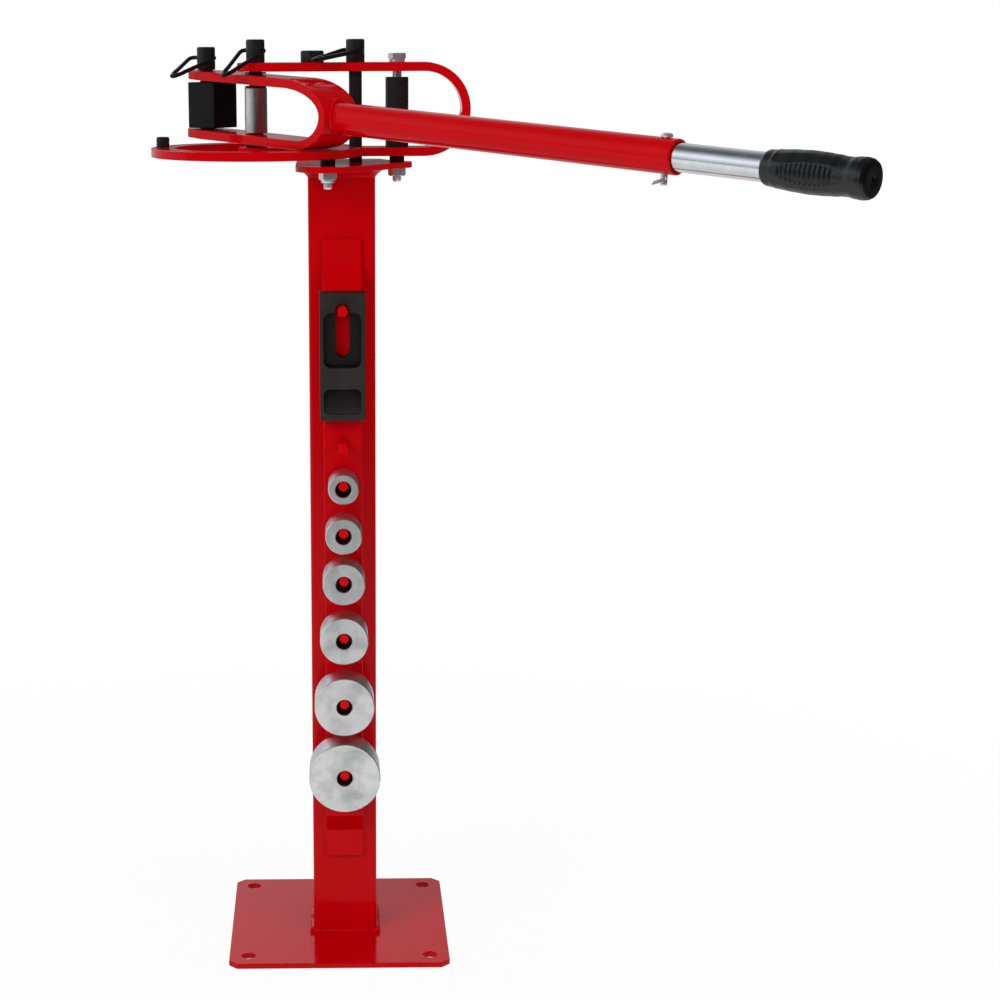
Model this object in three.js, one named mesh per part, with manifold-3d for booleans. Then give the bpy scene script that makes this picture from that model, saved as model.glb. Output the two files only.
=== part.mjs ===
// A free-standing pipe bender: a pedestal, a bending frame with a degree ring, a forked arm with a
// telescopic handle, and a rack of turned dies. Millimetres, +Z up, the front of the post faces -Y.
// The origin is on the floor, under the middle of the post.
import * as THREE from 'three';
import { mergeVertices } from 'three/addons/utils/BufferGeometryUtils.js';
import Module from 'manifold-3d';

const wasm = await Module();
wasm.setup();

// Clearances and cutters
const restGap = 0.3; // between pieces that bear on each other without being joined
const pinClearance = 0.5; // round a pin in its hole, on the radius
const cutOverrun = 2; // how far a cutter reaches past the face that it cuts
const meshTolerance = 0.0001; // points nearer than this are one point

// Base plate and post
const baseWidth = 240;
const baseShift = 7; // how far the plate's middle stands to the left of the post's
const baseThickness = 6;
const baseCornerCut = 9;
const anchorHoleRadius = 7.5;
const anchorHoleInset = 21;
const postWidth = 70;
const postWall = 3;
const postCornerRadius = 4;
const postLength = 845;
const weldLeg = 7;
const weldLip = 1;
const neckLeg = 11;
const neckShares = [[0.09, 1], [0.32, 0.42], [1, 0]]; // out and down, of the neck's hollow flare

// Mount plate on top of the post
const mountPlateThickness = 6;
const mountPlateLeftLip = 12;
const mountPlateBackLip = 7;
const rightLobeRadius = 15.7;

// Bending frame: a flat bar bent into a U, lying on its side
const barWidth = 38;
const barThickness = 9;
const frameOuterHeight = 95;
const pivotX = -88;
const pivotY = -16;
const frameBendX = 86;
const framePlateGap = 6.5;

// Degree ring welded to the frame's lower leg
const ringOuterRadius = 109.5;
const ringWidth = 24.5;

// Bolts that hold the frame
const boltRadius = 4.75;
const boltClearance = 0.4;
const hexFlats = 16;
const boltHeadHeight = 6.4;
const nutHeight = 8.5;
const nutCollarHeight = 3.5;
const nutCollarRadius = 6.8;
const hexChamfer = 1.2;
const lockWasherHeight = 2.8;
const lockWasherRadius = 8.2;
const boltTail = 6;
const rightBoltX = 58;
const frontBoltAngle = -40.5;
const countersinkRadius = 9.5;
const spacerRadius = 7.7;
const tallSpacerRadius = 11.9;
const tallSpacerGap = 6;

// Headed pins and their wire bails
const pinRadius = 6.75;
const pinHeadRadius = 9.6;
const pinHeadHeight = 23.5;
const pinHeadChamfer = 1.4;
const pinTipChamfer = 2;
const supportPinX = 15;
const pinEndInset = 1;
const bailWireRadius = 2.15;
const bailHoleClearance = 0.35;
const bailHoleDrop = 11;
const bailLength = 58;
const bailShoulder = 3.2;
const bailPathShares = [
  [0.35, 0], [0.56, 0], [0.85, 0], [1, 0.065], [0.98, 0.16], [0.75, 0.4], [0.49, 0.66], [0.25, 0.93],
];
const pivotBailAngle = -36;
const pivotBailDrop = 25;
const blockBailAngle = 9;
const blockBailDrop = 18.5;
const supportBailAngle = -48;
const supportBailDrop = 9.8;
const strapPlugX = -29.4;
const strapPlugRadius = 12;
const strapPlugHeight = 12;
const stopPinRadius = 6.75;
const stopPinProud = 11;

// Swinging arm: direction in plan, seen from above, and how far the fork and the handle hang down
const armAngle = -45;
const forkDroop = 2.7;
const handleDroop = 3.3;
const forkPlay = 7.5;
const forkWidth = 48;
const forkThickness = 9.2;
const forkReach = 124.5;
const forkBendLength = 42;
const forkNoseRadius = 20;
const forkNoseTaper = 15;
const blockPinReach = 76;

// Die on the pivot pin, its washers, and the press block
const pivotDieRadius = 11.6;
const pivotDiePlay = 4.9;
const washerRadius = 11;
const dieWasherThickness = 1.9;
const upperWasherThickness = 1.6;
const lowerWasherThickness = 3.6;
const blockSize = 36.5;
const blockPlay = 3.9;
const blockBoreOffset = 8;
const blockEdgeRadius = 1.2;
const blockTurn = 6.5;

// Handle: two sizes of tube, one inside the other, with a pin through both
const handlePipeRadius = 15.875;
const handlePipeWall = 2.8;
const handlePipeEnd = 537;
const extensionRadius = 12.7;
const extensionWall = 2.4;
const extensionOverlap = 150;
const extensionShown = 83;
const clevisInset = 14;
const clevisRadius = 3.1;
const clevisHeadRadius = 5.2;
const clevisHeadHeight = 3.6;
const clevisTipChamfer = 1;
const clevisHeadShoulderShare = 0.6;
const clevisTail = 9.5;
const cotterWireRadius = 0.9;
const cotterHoleDrop = 4;
const cotterEyeLength = 8;
const cotterEyeRadius = 3;
const cotterTail = 10;
const cotterSpread = 2.7;
const cotterTailShare = 0.33;
const cotterEyeShares = [[0.25, 0.4], [0.55, 1]];

// Grip: moulded rubber, thicker in the middle, with finger ribs
const gripLength = 108;
const gripEndWall = 9;
const gripRadius = 18.3;
const gripCollarShare = 0.78;
const gripNeckShare = 0.885;
const gripFlangeShare = 0.935;
const gripProfileShares = [
  [0, gripCollarShare], [0.07, gripCollarShare], [0.12, 0.87], [0.29, 0.965], [0.42, 1], [0.54, 0.985],
  [0.66, 0.94], [0.75, gripNeckShare], [0.81, gripNeckShare], [0.86, gripFlangeShare],
  [0.96, gripFlangeShare], [1, 0.85],
];
const gripVentRadius = 2.2;
const gripRibCount = 12;
const gripRibStart = 16;
const gripRibPitch = 4.4;
const gripGrooveWidth = 1.8;
const gripGrooveDepth = 1.3;
const gripGrooveHeight = 20;

// Tool rack: a joggled flat bar with pegs
const rackWidth = 40;
const rackThickness = 5;
const rackStandoff = 25;
const rackTopDrop = 72;
const rackUpperFoot = 27;
const rackBottomRise = 92;
const rackLowerFoot = 33;
const pegRadius = 5;
const emptyPegDrop = 24.5;

// Turned dies on the rack, smallest first, and the clear space under each
const dieDiameters = [31.75, 38.1, 44.45, 50.8, 63.5, 76.2];
const dieSpaces = [15.4, 10.2, 14.2, 15.5, 9.5];
const firstDieDrop = 44;
const dieLength = 38.1;
const dieBoreClearance = 1.55;
const dieChamfer = 0.8;

// Slotted bending block on the top peg
const slottedWidth = 47.5;
const slottedHeight = 133.5;
const slottedThickness = 16;
const slottedDrop = 51;
const slotHalfWidth = 7.4;
const slotTopInset = 12;
const slotLength = 55.5;
const upperPocketWidth = 39;
const upperPocketTopInset = 20.5;
const upperPocketHeight = 57.5;
const lowerPocketHeight = 33;
const lowerPocketFootDepth = 1.5;
const pocketDepth = 6;
const pocketCornerRadius = 8;

// Facets
const fineSides = 32;
const roundSides = 20;
const pegSides = 12;
const wireSides = 8;
const circleSteps = 10;
const cornerSteps = 2;
const ringSteps = 28;
const bendSteps = 14;
const bailSteps = 32;
const cotterSteps = 26;

// Heights and places that follow from the sizes above
const baseTop = baseThickness;
const postTop = baseTop + postLength;
const mountPlateTop = postTop + mountPlateThickness;
const frameBottom = mountPlateTop + framePlateGap;
const lowerLegTop = frameBottom + barThickness;
const strapTop = frameBottom + frameOuterHeight;
const strapBottom = strapTop - barThickness;
const postFront = -postWidth / 2;
const mountPlateLeft = postWidth / 2 + mountPlateLeftLip;
const mountPlateBack = postWidth / 2 + mountPlateBackLip;
const rackFace = postFront - rackStandoff - rackThickness;
const ringInnerRadius = ringOuterRadius - ringWidth;
const ringMidRadius = ringOuterRadius - ringWidth / 2;
const frontBoltX = pivotX + ringMidRadius * Math.cos(THREE.MathUtils.degToRad(frontBoltAngle));
const frontBoltY = pivotY + ringMidRadius * Math.sin(THREE.MathUtils.degToRad(frontBoltAngle));
const frontLobeRadius = frontBoltX + mountPlateLeft;
const tallSpacerHeight = strapBottom - lowerLegTop - tallSpacerGap;
const forkSlope = Math.tan(THREE.MathUtils.degToRad(forkDroop));
const forkUpright = 1 / Math.cos(THREE.MathUtils.degToRad(forkDroop));
const forkHeight = strapBottom - lowerLegTop - forkPlay;
const forkHalf = forkHeight / 2;
const forkInside = forkHeight - forkThickness * 2;
const forkUnderside = lowerLegTop + lowerWasherThickness + restGap + washerRadius * forkSlope;
const forkAxisHeight = forkUnderside + forkHalf * forkUpright;
const pivotDieLength = forkInside - pivotDiePlay;
const blockHeight = forkInside - blockPlay;
const clevisReach = handlePipeEnd - clevisInset;
const gripStart = handlePipeEnd + extensionShown;
const bailHoleRadius = bailWireRadius + bailHoleClearance;
const rackTop = postTop - rackTopDrop;
const rackBottom = baseTop + rackBottomRise;
const slottedTop = rackTop - slottedDrop;
const emptyPegHeight = slottedTop - slottedHeight - emptyPegDrop;
const firstDieHeight = emptyPegHeight - firstDieDrop;
const dieBoreRadius = pinRadius + dieBoreClearance;
const pegLength = dieLength + restGap;
const slotTop = slottedTop - slotTopInset;
const slottedPegHeight = slotTop - pegRadius - restGap;

const paint = { color: 0xc4071d, roughness: 0.35, metalness: 0.1 };
const blackOxide = { color: 0x1b1a1b, roughness: 0.5, metalness: 0.6 };
const turnedSteel = { color: 0xb9bab8, roughness: 0.3, metalness: 0.9 };
const zincPlate = { color: 0xc9ccd0, roughness: 0.25, metalness: 0.9 };
const castIron = { color: 0x38302e, roughness: 0.65, metalness: 0.4 };
const rubber = { color: 0x151515, roughness: 0.7, metalness: 0 };

// Closed geometry to a solid that can be cut. Triangles with two corners alike are dropped.
function solidOf(geometry) {
  const bare = geometry.clone();
  bare.deleteAttribute('normal');
  bare.deleteAttribute('uv');
  const merged = mergeVertices(bare, meshTolerance);
  const corners = merged.index.array;
  const kept = [];
  for (let i = 0; i < corners.length; i += 3) {
    const [a, b, c] = [corners[i], corners[i + 1], corners[i + 2]];
    if (a !== b && b !== c && c !== a) kept.push(a, b, c);
  }
  const vertProperties = Float32Array.from(merged.attributes.position.array);
  return new wasm.Manifold(new wasm.Mesh({ numProp: 3, vertProperties, triVerts: Uint32Array.from(kept) }));
}

function geometryOf(solid) {
  const mesh = solid.getMesh();
  const geometry = new THREE.BufferGeometry();
  geometry.setAttribute('position', new THREE.BufferAttribute(Float32Array.from(mesh.vertProperties), 3));
  geometry.setIndex(new THREE.BufferAttribute(Uint32Array.from(mesh.triVerts), 1));
  geometry.computeVertexNormals();
  return geometry;
}

function piece(name, solid, finish) {
  const mesh = new THREE.Mesh(geometryOf(solid), new THREE.MeshStandardMaterial(finish));
  mesh.name = name;
  return mesh;
}

function placedAt(object, x, y, z) {
  object.position.set(x, y, z);
  return object;
}

// A flat outline with its thickness upwards from a height
function slab(shape, low, high, curveSegments = circleSteps) {
  const geometry = new THREE.ExtrudeGeometry(shape, { depth: high - low, bevelEnabled: false, curveSegments });
  return solidOf(geometry.translate(0, 0, low));
}

// A side outline, drawn with x to the right and height up, made as wide as asked across Y and centred on it
function sideSlab(shape, width, curveSegments = cornerSteps * 2) {
  const geometry = new THREE.ExtrudeGeometry(shape, { depth: width, bevelEnabled: false, curveSegments });
  return solidOf(geometry.rotateX(Math.PI / 2).translate(0, width / 2, 0));
}

// A solid turned about the Z axis from points of radius and height, from the bottom to the top
function turned(profile, sides = roundSides) {
  const points = profile.map(([radius, height]) => new THREE.Vector2(radius, height));
  return solidOf(new THREE.LatheGeometry(points, sides).rotateX(Math.PI / 2));
}

function disc(radius, low, high, sides = roundSides) {
  return turned([[0, low], [radius, low], [radius, high], [0, high]], sides);
}

function tube(radius, bore, low, high, sides = roundSides) {
  return turned([[bore, low], [radius, low], [radius, high], [bore, high], [bore, low]], sides);
}

function box(width, depth, low, high) {
  const geometry = new THREE.BoxGeometry(width, depth, high - low);
  return solidOf(geometry.translate(0, 0, (low + high) / 2));
}

// A wire of round section along a curve
function wire(curve, radius, steps) {
  const section = new THREE.Shape();
  section.absarc(0, 0, radius, 0, Math.PI * 2);
  const options = { steps, bevelEnabled: false, extrudePath: curve, curveSegments: wireSides / 2 };
  return solidOf(new THREE.ExtrudeGeometry(section, options));
}

function circlePath(x, y, radius) {
  const path = new THREE.Path();
  path.absarc(x, y, radius, 0, Math.PI * 2, true);
  return path;
}

function roundedRectangle(width, height, radius) {
  const [w, h] = [width / 2, height / 2];
  const shape = new THREE.Shape();
  shape.absarc(w - radius, h - radius, radius, 0, Math.PI / 2);
  shape.absarc(radius - w, h - radius, radius, Math.PI / 2, Math.PI);
  shape.absarc(radius - w, radius - h, radius, Math.PI, Math.PI * 1.5);
  shape.absarc(w - radius, radius - h, radius, Math.PI * 1.5, Math.PI * 2);
  return shape;
}

// The outline of a flat bar along a path of points, with its thickness to the left of the path
function barOutline(path, thickness) {
  const offset = path.map((point, i) => {
    const arriving = point.clone().sub(path[Math.max(i - 1, 0)]).normalize();
    const leaving = path[Math.min(i + 1, path.length - 1)].clone().sub(point).normalize();
    const along = arriving.clone().add(leaving).normalize();
    const straight = leaving.length() > 0 ? leaving : arriving;
    return new THREE.Vector2(-along.y, along.x).multiplyScalar(thickness / along.dot(straight)).add(point);
  });
  return new THREE.Shape([...path, ...offset.reverse()]);
}

// Outer edge of a bar bent into a lying U: lower leg, half ellipse, upper leg
function uPath(endX, bendX, bendLength, low, high) {
  const radius = (high - low) / 2;
  const path = [new THREE.Vector2(endX, low)];
  for (let i = 0; i <= bendSteps; i += 1) {
    const angle = Math.PI * (i / bendSteps) - Math.PI / 2;
    path.push(new THREE.Vector2(bendX + bendLength * Math.cos(angle), low + radius + radius * Math.sin(angle)));
  }
  path.push(new THREE.Vector2(endX, high));
  return path;
}

// Plan of a bar whose left end is a half circle about the origin
function roundEndedPlan(width, length) {
  const shape = new THREE.Shape();
  shape.absarc(0, 0, width / 2, Math.PI / 2, Math.PI * 1.5);
  shape.lineTo(length, -width / 2);
  shape.lineTo(length, width / 2);
  return shape;
}

// A solid of square section from points of half width and height, with a square hole through it
function squareCollar(profile, holeHalf) {
  const solid = turned(profile.map(([half, height]) => [half * Math.SQRT2, height]), 4).rotate([0, 0, 45]);
  const heights = profile.map((point) => point[1]);
  const hole = box(holeHalf * 2, holeHalf * 2, Math.min(...heights) - cutOverrun, Math.max(...heights) + cutOverrun);
  return solid.subtract(hole);
}

function basePlate() {
  const half = baseWidth / 2;
  const cut = half - baseCornerCut;
  const outline = new THREE.Shape([
    new THREE.Vector2(-cut, -half), new THREE.Vector2(cut, -half), new THREE.Vector2(half, -cut),
    new THREE.Vector2(half, cut), new THREE.Vector2(cut, half), new THREE.Vector2(-cut, half),
    new THREE.Vector2(-half, cut), new THREE.Vector2(-half, -cut),
  ]);
  const hole = half - anchorHoleInset;
  for (const [x, y] of [[-1, -1], [1, -1], [1, 1], [-1, 1]]) {
    outline.holes.push(circlePath(x * hole, y * hole, anchorHoleRadius));
  }
  const foot = postWidth / 2 + restGap;
  const [bead, sunk] = [foot + weldLeg, baseTop - weldLip];
  const profile = [[0, sunk], [bead, sunk], [foot + weldLip, baseTop + weldLeg], [0, baseTop + weldLeg]];
  return squareCollar(profile, foot).add(slab(outline, 0, baseTop).translate(-baseShift, 0, 0));
}

function post() {
  const outline = roundedRectangle(postWidth, postWidth, postCornerRadius);
  const inside = postWidth - postWall * 2;
  outline.holes.push(roundedRectangle(inside, inside, postCornerRadius - postWall));
  return slab(outline, 0, postLength, cornerSteps);
}

function mountPlateOutline() {
  const [dx, dy] = [rightBoltX - frontBoltX, pivotY - frontBoltY];
  const towards = Math.atan2(dy, dx);
  const tangent = towards - Math.acos((frontLobeRadius - rightLobeRadius) / Math.hypot(dx, dy));
  const outline = new THREE.Shape();
  outline.moveTo(-mountPlateLeft, mountPlateBack);
  outline.lineTo(-mountPlateLeft, frontBoltY);
  outline.absarc(frontBoltX, frontBoltY, frontBoltX + mountPlateLeft, Math.PI, Math.PI * 2 + tangent);
  outline.absarc(rightBoltX, pivotY, rightLobeRadius, tangent, Math.PI / 2);
  outline.lineTo(mountPlateBack, mountPlateBack);
  return outline;
}

function mountPlate() {
  const outline = mountPlateOutline();
  outline.holes.push(circlePath(frontBoltX, frontBoltY, boltRadius + boltClearance));
  outline.holes.push(circlePath(rightBoltX, pivotY, boltRadius + boltClearance));
  outline.holes.push(circlePath(supportPinX, pivotY, pinRadius + pinClearance));
  const neck = postWidth / 2 + restGap;
  const flare = neckShares.map(([out, down]) => [neck + neckLeg * out, postTop - neckLeg * down]);
  const lip = postTop + weldLip;
  const profile = [[0, postTop - neckLeg], ...flare, [neck + neckLeg, lip], [0, lip]];
  return slab(outline, postTop, mountPlateTop).add(squareCollar(profile, neck));
}

function pinHole(x, y, radius = pinRadius + pinClearance) {
  return disc(radius, frameBottom - cutOverrun, strapTop + cutOverrun).translate(x, y, 0);
}

function bendingFrame() {
  const path = uPath(pivotX - barWidth / 2, frameBendX, frameOuterHeight / 2, frameBottom, strapTop);
  const bar = sideSlab(barOutline(path, barThickness), barWidth).translate(0, pivotY, 0);
  const planLength = frameBendX - pivotX + frameOuterHeight;
  const plan = slab(roundEndedPlan(barWidth, planLength), frameBottom - cutOverrun, strapTop + cutOverrun)
    .translate(pivotX, pivotY, 0);
  return bar.intersect(plan)
    .subtract(pinHole(pivotX, pivotY))
    .subtract(pinHole(supportPinX, pivotY))
    .subtract(pinHole(rightBoltX, pivotY, boltRadius + boltClearance))
    .subtract(disc(pinRadius + pinClearance, lowerLegTop, strapTop + cutOverrun).translate(strapPlugX, pivotY, 0));
}

// The ring is open on the right, where the frame's lower leg passes through it
function degreeRing() {
  const outline = new THREE.Shape();
  outline.absarc(0, 0, ringOuterRadius, 0, Math.PI * 2);
  outline.holes.push(circlePath(0, 0, ringInnerRadius));
  const legWidth = barWidth + restGap * 2;
  const legLength = ringOuterRadius + cutOverrun;
  const leg = box(legLength, legWidth, -cutOverrun, barThickness + cutOverrun).translate(legLength / 2, 0, 0);
  const countersinkDepth = countersinkRadius - boltRadius;
  const clear = boltRadius + boltClearance;
  const countersink = turned([
    [0, -cutOverrun], [clear, -cutOverrun], [clear, barThickness - countersinkDepth],
    [countersinkRadius + boltClearance, barThickness], [countersinkRadius + boltClearance, barThickness + cutOverrun],
    [0, barThickness + cutOverrun],
  ]).translate(frontBoltX - pivotX, frontBoltY - pivotY, 0);
  const stopHole = disc(stopPinRadius + restGap, -cutOverrun, barThickness + cutOverrun).translate(-ringMidRadius, 0, 0);
  return slab(outline, 0, barThickness, ringSteps).subtract(leg).subtract(countersink).subtract(stopHole);
}

// A hexagon with its corners turned down at the top, and a bore if one is asked for
function hexagon(low, high, bore = 0) {
  const corner = hexFlats / 2 / Math.cos(Math.PI / 6);
  const prism = disc(corner, low, high, 6);
  const turnedTop = turned([
    [0, low], [corner, low], [corner, high - hexChamfer / 2], [corner - hexChamfer, high], [0, high],
  ]);
  const blank = prism.intersect(turnedTop);
  return bore > 0 ? blank.subtract(disc(bore, low - cutOverrun, high + cutOverrun)) : blank;
}

// Threads are left plain. The nut's bore keeps a clearance round the bolt.
function nut() {
  return hexagon(0, nutHeight, boltRadius + restGap).rotate([180, 0, 0]);
}

// A locking nut has a round collar beyond its flats
function lockingNut() {
  const bore = boltRadius + restGap;
  const [start, end] = [nutHeight - hexChamfer, nutHeight + nutCollarHeight];
  const collar = turned([
    [bore, start], [nutCollarRadius, start], [nutCollarRadius, end - hexChamfer], [nutCollarRadius - hexChamfer, end],
    [bore, end], [bore, start],
  ]);
  return collar.rotate([180, 0, 0]).add(nut());
}

function rightBolt() {
  const headLow = strapTop + lockWasherHeight;
  const shank = disc(boltRadius, postTop - nutHeight - boltTail, headLow + boltHeadHeight / 2);
  return hexagon(headLow, headLow + boltHeadHeight).add(shank);
}

function frontBolt() {
  const headDepth = countersinkRadius - boltRadius;
  const tip = postTop - nutHeight - nutCollarHeight - boltTail;
  return turned([
    [0, tip], [boltRadius, tip], [boltRadius, lowerLegTop - headDepth],
    [countersinkRadius, lowerLegTop], [0, lowerLegTop],
  ]);
}

function lockWasher() {
  return tube(lockWasherRadius, boltRadius + boltClearance, 0, lockWasherHeight);
}

// A pin whose head rests at height 0, with a cross hole for its bail
function headedPin(shankLength, bailAngle) {
  const body = turned([
    [0, -shankLength], [pinRadius - pinTipChamfer, -shankLength], [pinRadius, pinTipChamfer - shankLength],
    [pinRadius, 0], [pinHeadRadius, 0], [pinHeadRadius, pinHeadHeight - pinHeadChamfer],
    [pinHeadRadius - pinHeadChamfer, pinHeadHeight], [0, pinHeadHeight],
  ]);
  const reach = pinHeadRadius + cutOverrun;
  const crossHole = disc(bailHoleRadius, -reach, reach, pegSides).rotate([0, 90, 0]).rotate([0, 0, bailAngle]);
  return body.subtract(crossHole.translate(0, 0, pinHeadHeight - bailHoleDrop));
}

// A wire loop drawn flat: its ends enter the cross hole along X, and it reaches out along -Y to its tip
function bail() {
  const side = pinHeadRadius + bailShoulder;
  const half = bailPathShares.map(([across, out]) => [side * across, -bailLength * out]);
  const points = half.map(([x, y]) => new THREE.Vector3(x, y, 0));
  const tip = new THREE.Vector3(0, -bailLength, 0);
  const back = half.slice().reverse().map(([x, y]) => new THREE.Vector3(-x, y, 0));
  return wire(new THREE.CatmullRomCurve3([...points, tip, ...back]), bailWireRadius, bailSteps);
}

// A pin and its bail, with the pin's head resting at a height
function pinWithBail(name, shankLength, bailAngle, bailDrop) {
  const group = new THREE.Group();
  const loop = piece(`${name}_bail`, bail(), blackOxide);
  placedAt(loop, 0, 0, pinHeadHeight - bailHoleDrop);
  loop.rotation.set(THREE.MathUtils.degToRad(bailDrop), 0, THREE.MathUtils.degToRad(bailAngle), 'ZYX');
  group.add(piece(name, headedPin(shankLength, bailAngle), blackOxide), loop);
  return group;
}

function strapPlug() {
  const depth = barThickness - pinEndInset;
  return turned([
    [0, -depth], [pinRadius, -depth], [pinRadius, 0], [strapPlugRadius, 0],
    [strapPlugRadius, strapPlugHeight - pinHeadChamfer], [strapPlugRadius - pinHeadChamfer, strapPlugHeight],
    [0, strapPlugHeight],
  ]);
}

function stopPin() {
  const depth = barThickness - pinEndInset;
  return turned([
    [0, -depth], [stopPinRadius, -depth], [stopPinRadius, stopPinProud - pinHeadChamfer],
    [stopPinRadius - pinHeadChamfer, stopPinProud], [0, stopPinProud],
  ]);
}

// The fork's outer edge, before it is tilted: its middle is at height 0 and the pivot at x 0
function forkPath(grow = 0) {
  const bendX = forkReach - forkBendLength;
  return uPath(-blockPinReach - forkNoseRadius, bendX, forkBendLength + grow, -forkHalf - grow, forkHalf + grow);
}

// Plan of the fork's legs: the bar narrows a little to a round nose about the block's pin
function forkPlan() {
  const half = forkWidth / 2;
  const toCentre = Math.hypot(forkNoseTaper, half);
  const turn = Math.atan2(forkNoseTaper, half) - Math.acos(forkNoseRadius / toCentre);
  const start = Math.PI / 2 - turn;
  const shape = new THREE.Shape();
  shape.absarc(0, 0, forkNoseRadius, start, Math.PI * 2 - start);
  shape.lineTo(forkNoseTaper, -half);
  shape.lineTo(blockPinReach + forkReach + cutOverrun, -half);
  shape.lineTo(blockPinReach + forkReach + cutOverrun, half);
  shape.lineTo(forkNoseTaper, half);
  return shape;
}

// Bores stay upright although the fork hangs down a little, so that its pins stand straight
function fork() {
  const bar = sideSlab(barOutline(forkPath(), forkThickness), forkWidth);
  const plan = slab(forkPlan(), -forkHeight, forkHeight).translate(-blockPinReach, 0, 0);
  const bore = disc(pinRadius + pinClearance, -forkHeight, forkHeight);
  return bar.intersect(plan).rotate([0, forkDroop, 0]).subtract(bore).subtract(bore.translate(-blockPinReach, 0, 0));
}

// A pipe along X, from one place to another
function pipe(radius, wall, start, end) {
  return tube(radius, radius - wall, start, end, fineSides).rotate([0, 90, 0]);
}

function clevisHole() {
  return disc(clevisRadius + restGap, -handlePipeRadius * 2, handlePipeRadius * 2).translate(clevisReach, 0, 0);
}

// The near end is shaped to the fork's bend, where it is welded
function handlePipe() {
  const bend = sideSlab(new THREE.Shape(forkPath(restGap)), handlePipeRadius * 4)
    .rotate([0, forkDroop - handleDroop, 0]);
  const start = forkReach - forkBendLength / 2;
  return pipe(handlePipeRadius, handlePipeWall, start, handlePipeEnd).subtract(bend).subtract(clevisHole());
}

function handleExtension() {
  const start = handlePipeEnd - extensionOverlap;
  const end = gripStart + gripLength - gripEndWall - restGap;
  return pipe(extensionRadius, extensionWall, start, end).subtract(clevisHole());
}

function gripBody() {
  const outside = gripProfileShares.map(([along, out]) => [gripRadius * out, gripLength * along]);
  const bore = extensionRadius + restGap;
  const floor = gripLength - gripEndWall;
  const profile = [[bore, 0], ...outside, [gripVentRadius, gripLength], [gripVentRadius, floor], [bore, floor], [bore, 0]];
  return turned(profile, fineSides).rotate([0, 90, 0]).translate(gripStart, 0, 0);
}

function grip() {
  const reach = gripRadius * 2;
  let body = gripBody();
  for (let i = 0; i < gripRibCount; i += 1) {
    const x = gripStart + gripRibStart + i * gripRibPitch;
    for (const side of [-1, 1]) {
      const groove = box(gripGrooveWidth, reach, -gripGrooveHeight / 2, gripGrooveHeight / 2);
      body = body.subtract(groove.translate(x, side * (reach / 2 + grooveFloor(i)), 0));
    }
  }
  return body;
}

// How far from the grip's axis the bottom of a groove lies
function grooveFloor(index) {
  const along = (gripRibStart + index * gripRibPitch) / gripLength;
  const after = gripProfileShares.findIndex(([share]) => share >= along);
  const [[x0, r0], [x1, r1]] = [gripProfileShares[after - 1], gripProfileShares[after]];
  const share = r0 + ((r1 - r0) * (along - x0)) / (x1 - x0);
  return gripRadius * share - gripGrooveDepth;
}

function clevisPin() {
  const seat = handlePipeRadius + restGap;
  const tip = -seat - clevisTail;
  const body = turned([
    [0, tip], [clevisRadius - clevisTipChamfer, tip], [clevisRadius, tip + clevisTipChamfer],
    [clevisRadius, seat], [clevisHeadRadius, seat],
    [clevisHeadRadius, seat + clevisHeadHeight * clevisHeadShoulderShare],
    [clevisHeadRadius * clevisHeadShoulderShare, seat + clevisHeadHeight], [0, seat + clevisHeadHeight],
  ]);
  const hole = disc(cotterWireRadius * 2 + restGap, -handlePipeRadius, handlePipeRadius, pegSides)
    .rotate([0, 90, 0]);
  return body.subtract(hole.translate(0, 0, -seat - cotterHoleDrop));
}

// A split pin: an eye on one side of the clevis pin and two legs that spread on the other
function cotterPin() {
  const leg = cotterWireRadius + restGap / 4;
  const half = [
    [-clevisRadius - cotterTail, cotterSpread], [-clevisRadius - cotterTail * cotterTailShare, leg],
    [-clevisRadius, leg], [clevisRadius, leg],
    ...cotterEyeShares.map(([out, up]) => [clevisRadius + cotterEyeLength * out, cotterEyeRadius * up]),
  ];
  const points = half.map(([x, z]) => new THREE.Vector3(x, 0, z));
  const eye = new THREE.Vector3(clevisRadius + cotterEyeLength, 0, 0);
  const back = half.slice().reverse().map(([x, z]) => new THREE.Vector3(x, 0, -z));
  return wire(new THREE.CatmullRomCurve3([...points, eye, ...back]), cotterWireRadius, cotterSteps);
}

// The bore is off the middle, so each face stands at its own distance from the die
function pressBlock() {
  const bar = slab(roundedRectangle(blockSize, blockSize, blockEdgeRadius), 0, blockHeight, cornerSteps);
  const bore = disc(pinRadius + pinClearance, -cutOverrun, blockHeight + cutOverrun);
  return bar.translate(blockBoreOffset, 0, 0).subtract(bore);
}

function turnedDie(radius, bore, length) {
  const edge = radius - dieChamfer;
  return turned([
    [bore, 0], [edge, 0], [radius, dieChamfer], [radius, length - dieChamfer], [edge, length], [bore, length],
    [bore, 0],
  ], fineSides);
}

function rackStrip() {
  const upperBend = rackTop - rackUpperFoot;
  const lowerBend = rackBottom + rackLowerFoot;
  const side = [
    [0, rackTop], [0, upperBend], [rackStandoff, upperBend - rackStandoff],
    [rackStandoff, lowerBend + rackStandoff], [0, lowerBend], [0, rackBottom],
  ].map(([out, height]) => new THREE.Vector2(out, height));
  return sideSlab(barOutline(side, rackThickness), rackWidth).rotate([0, 0, -90]);
}

// A peg or a die lies along -Y, away from the rack
function towardsFront(solid) {
  return solid.rotate([90, 0, 0]);
}

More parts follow.
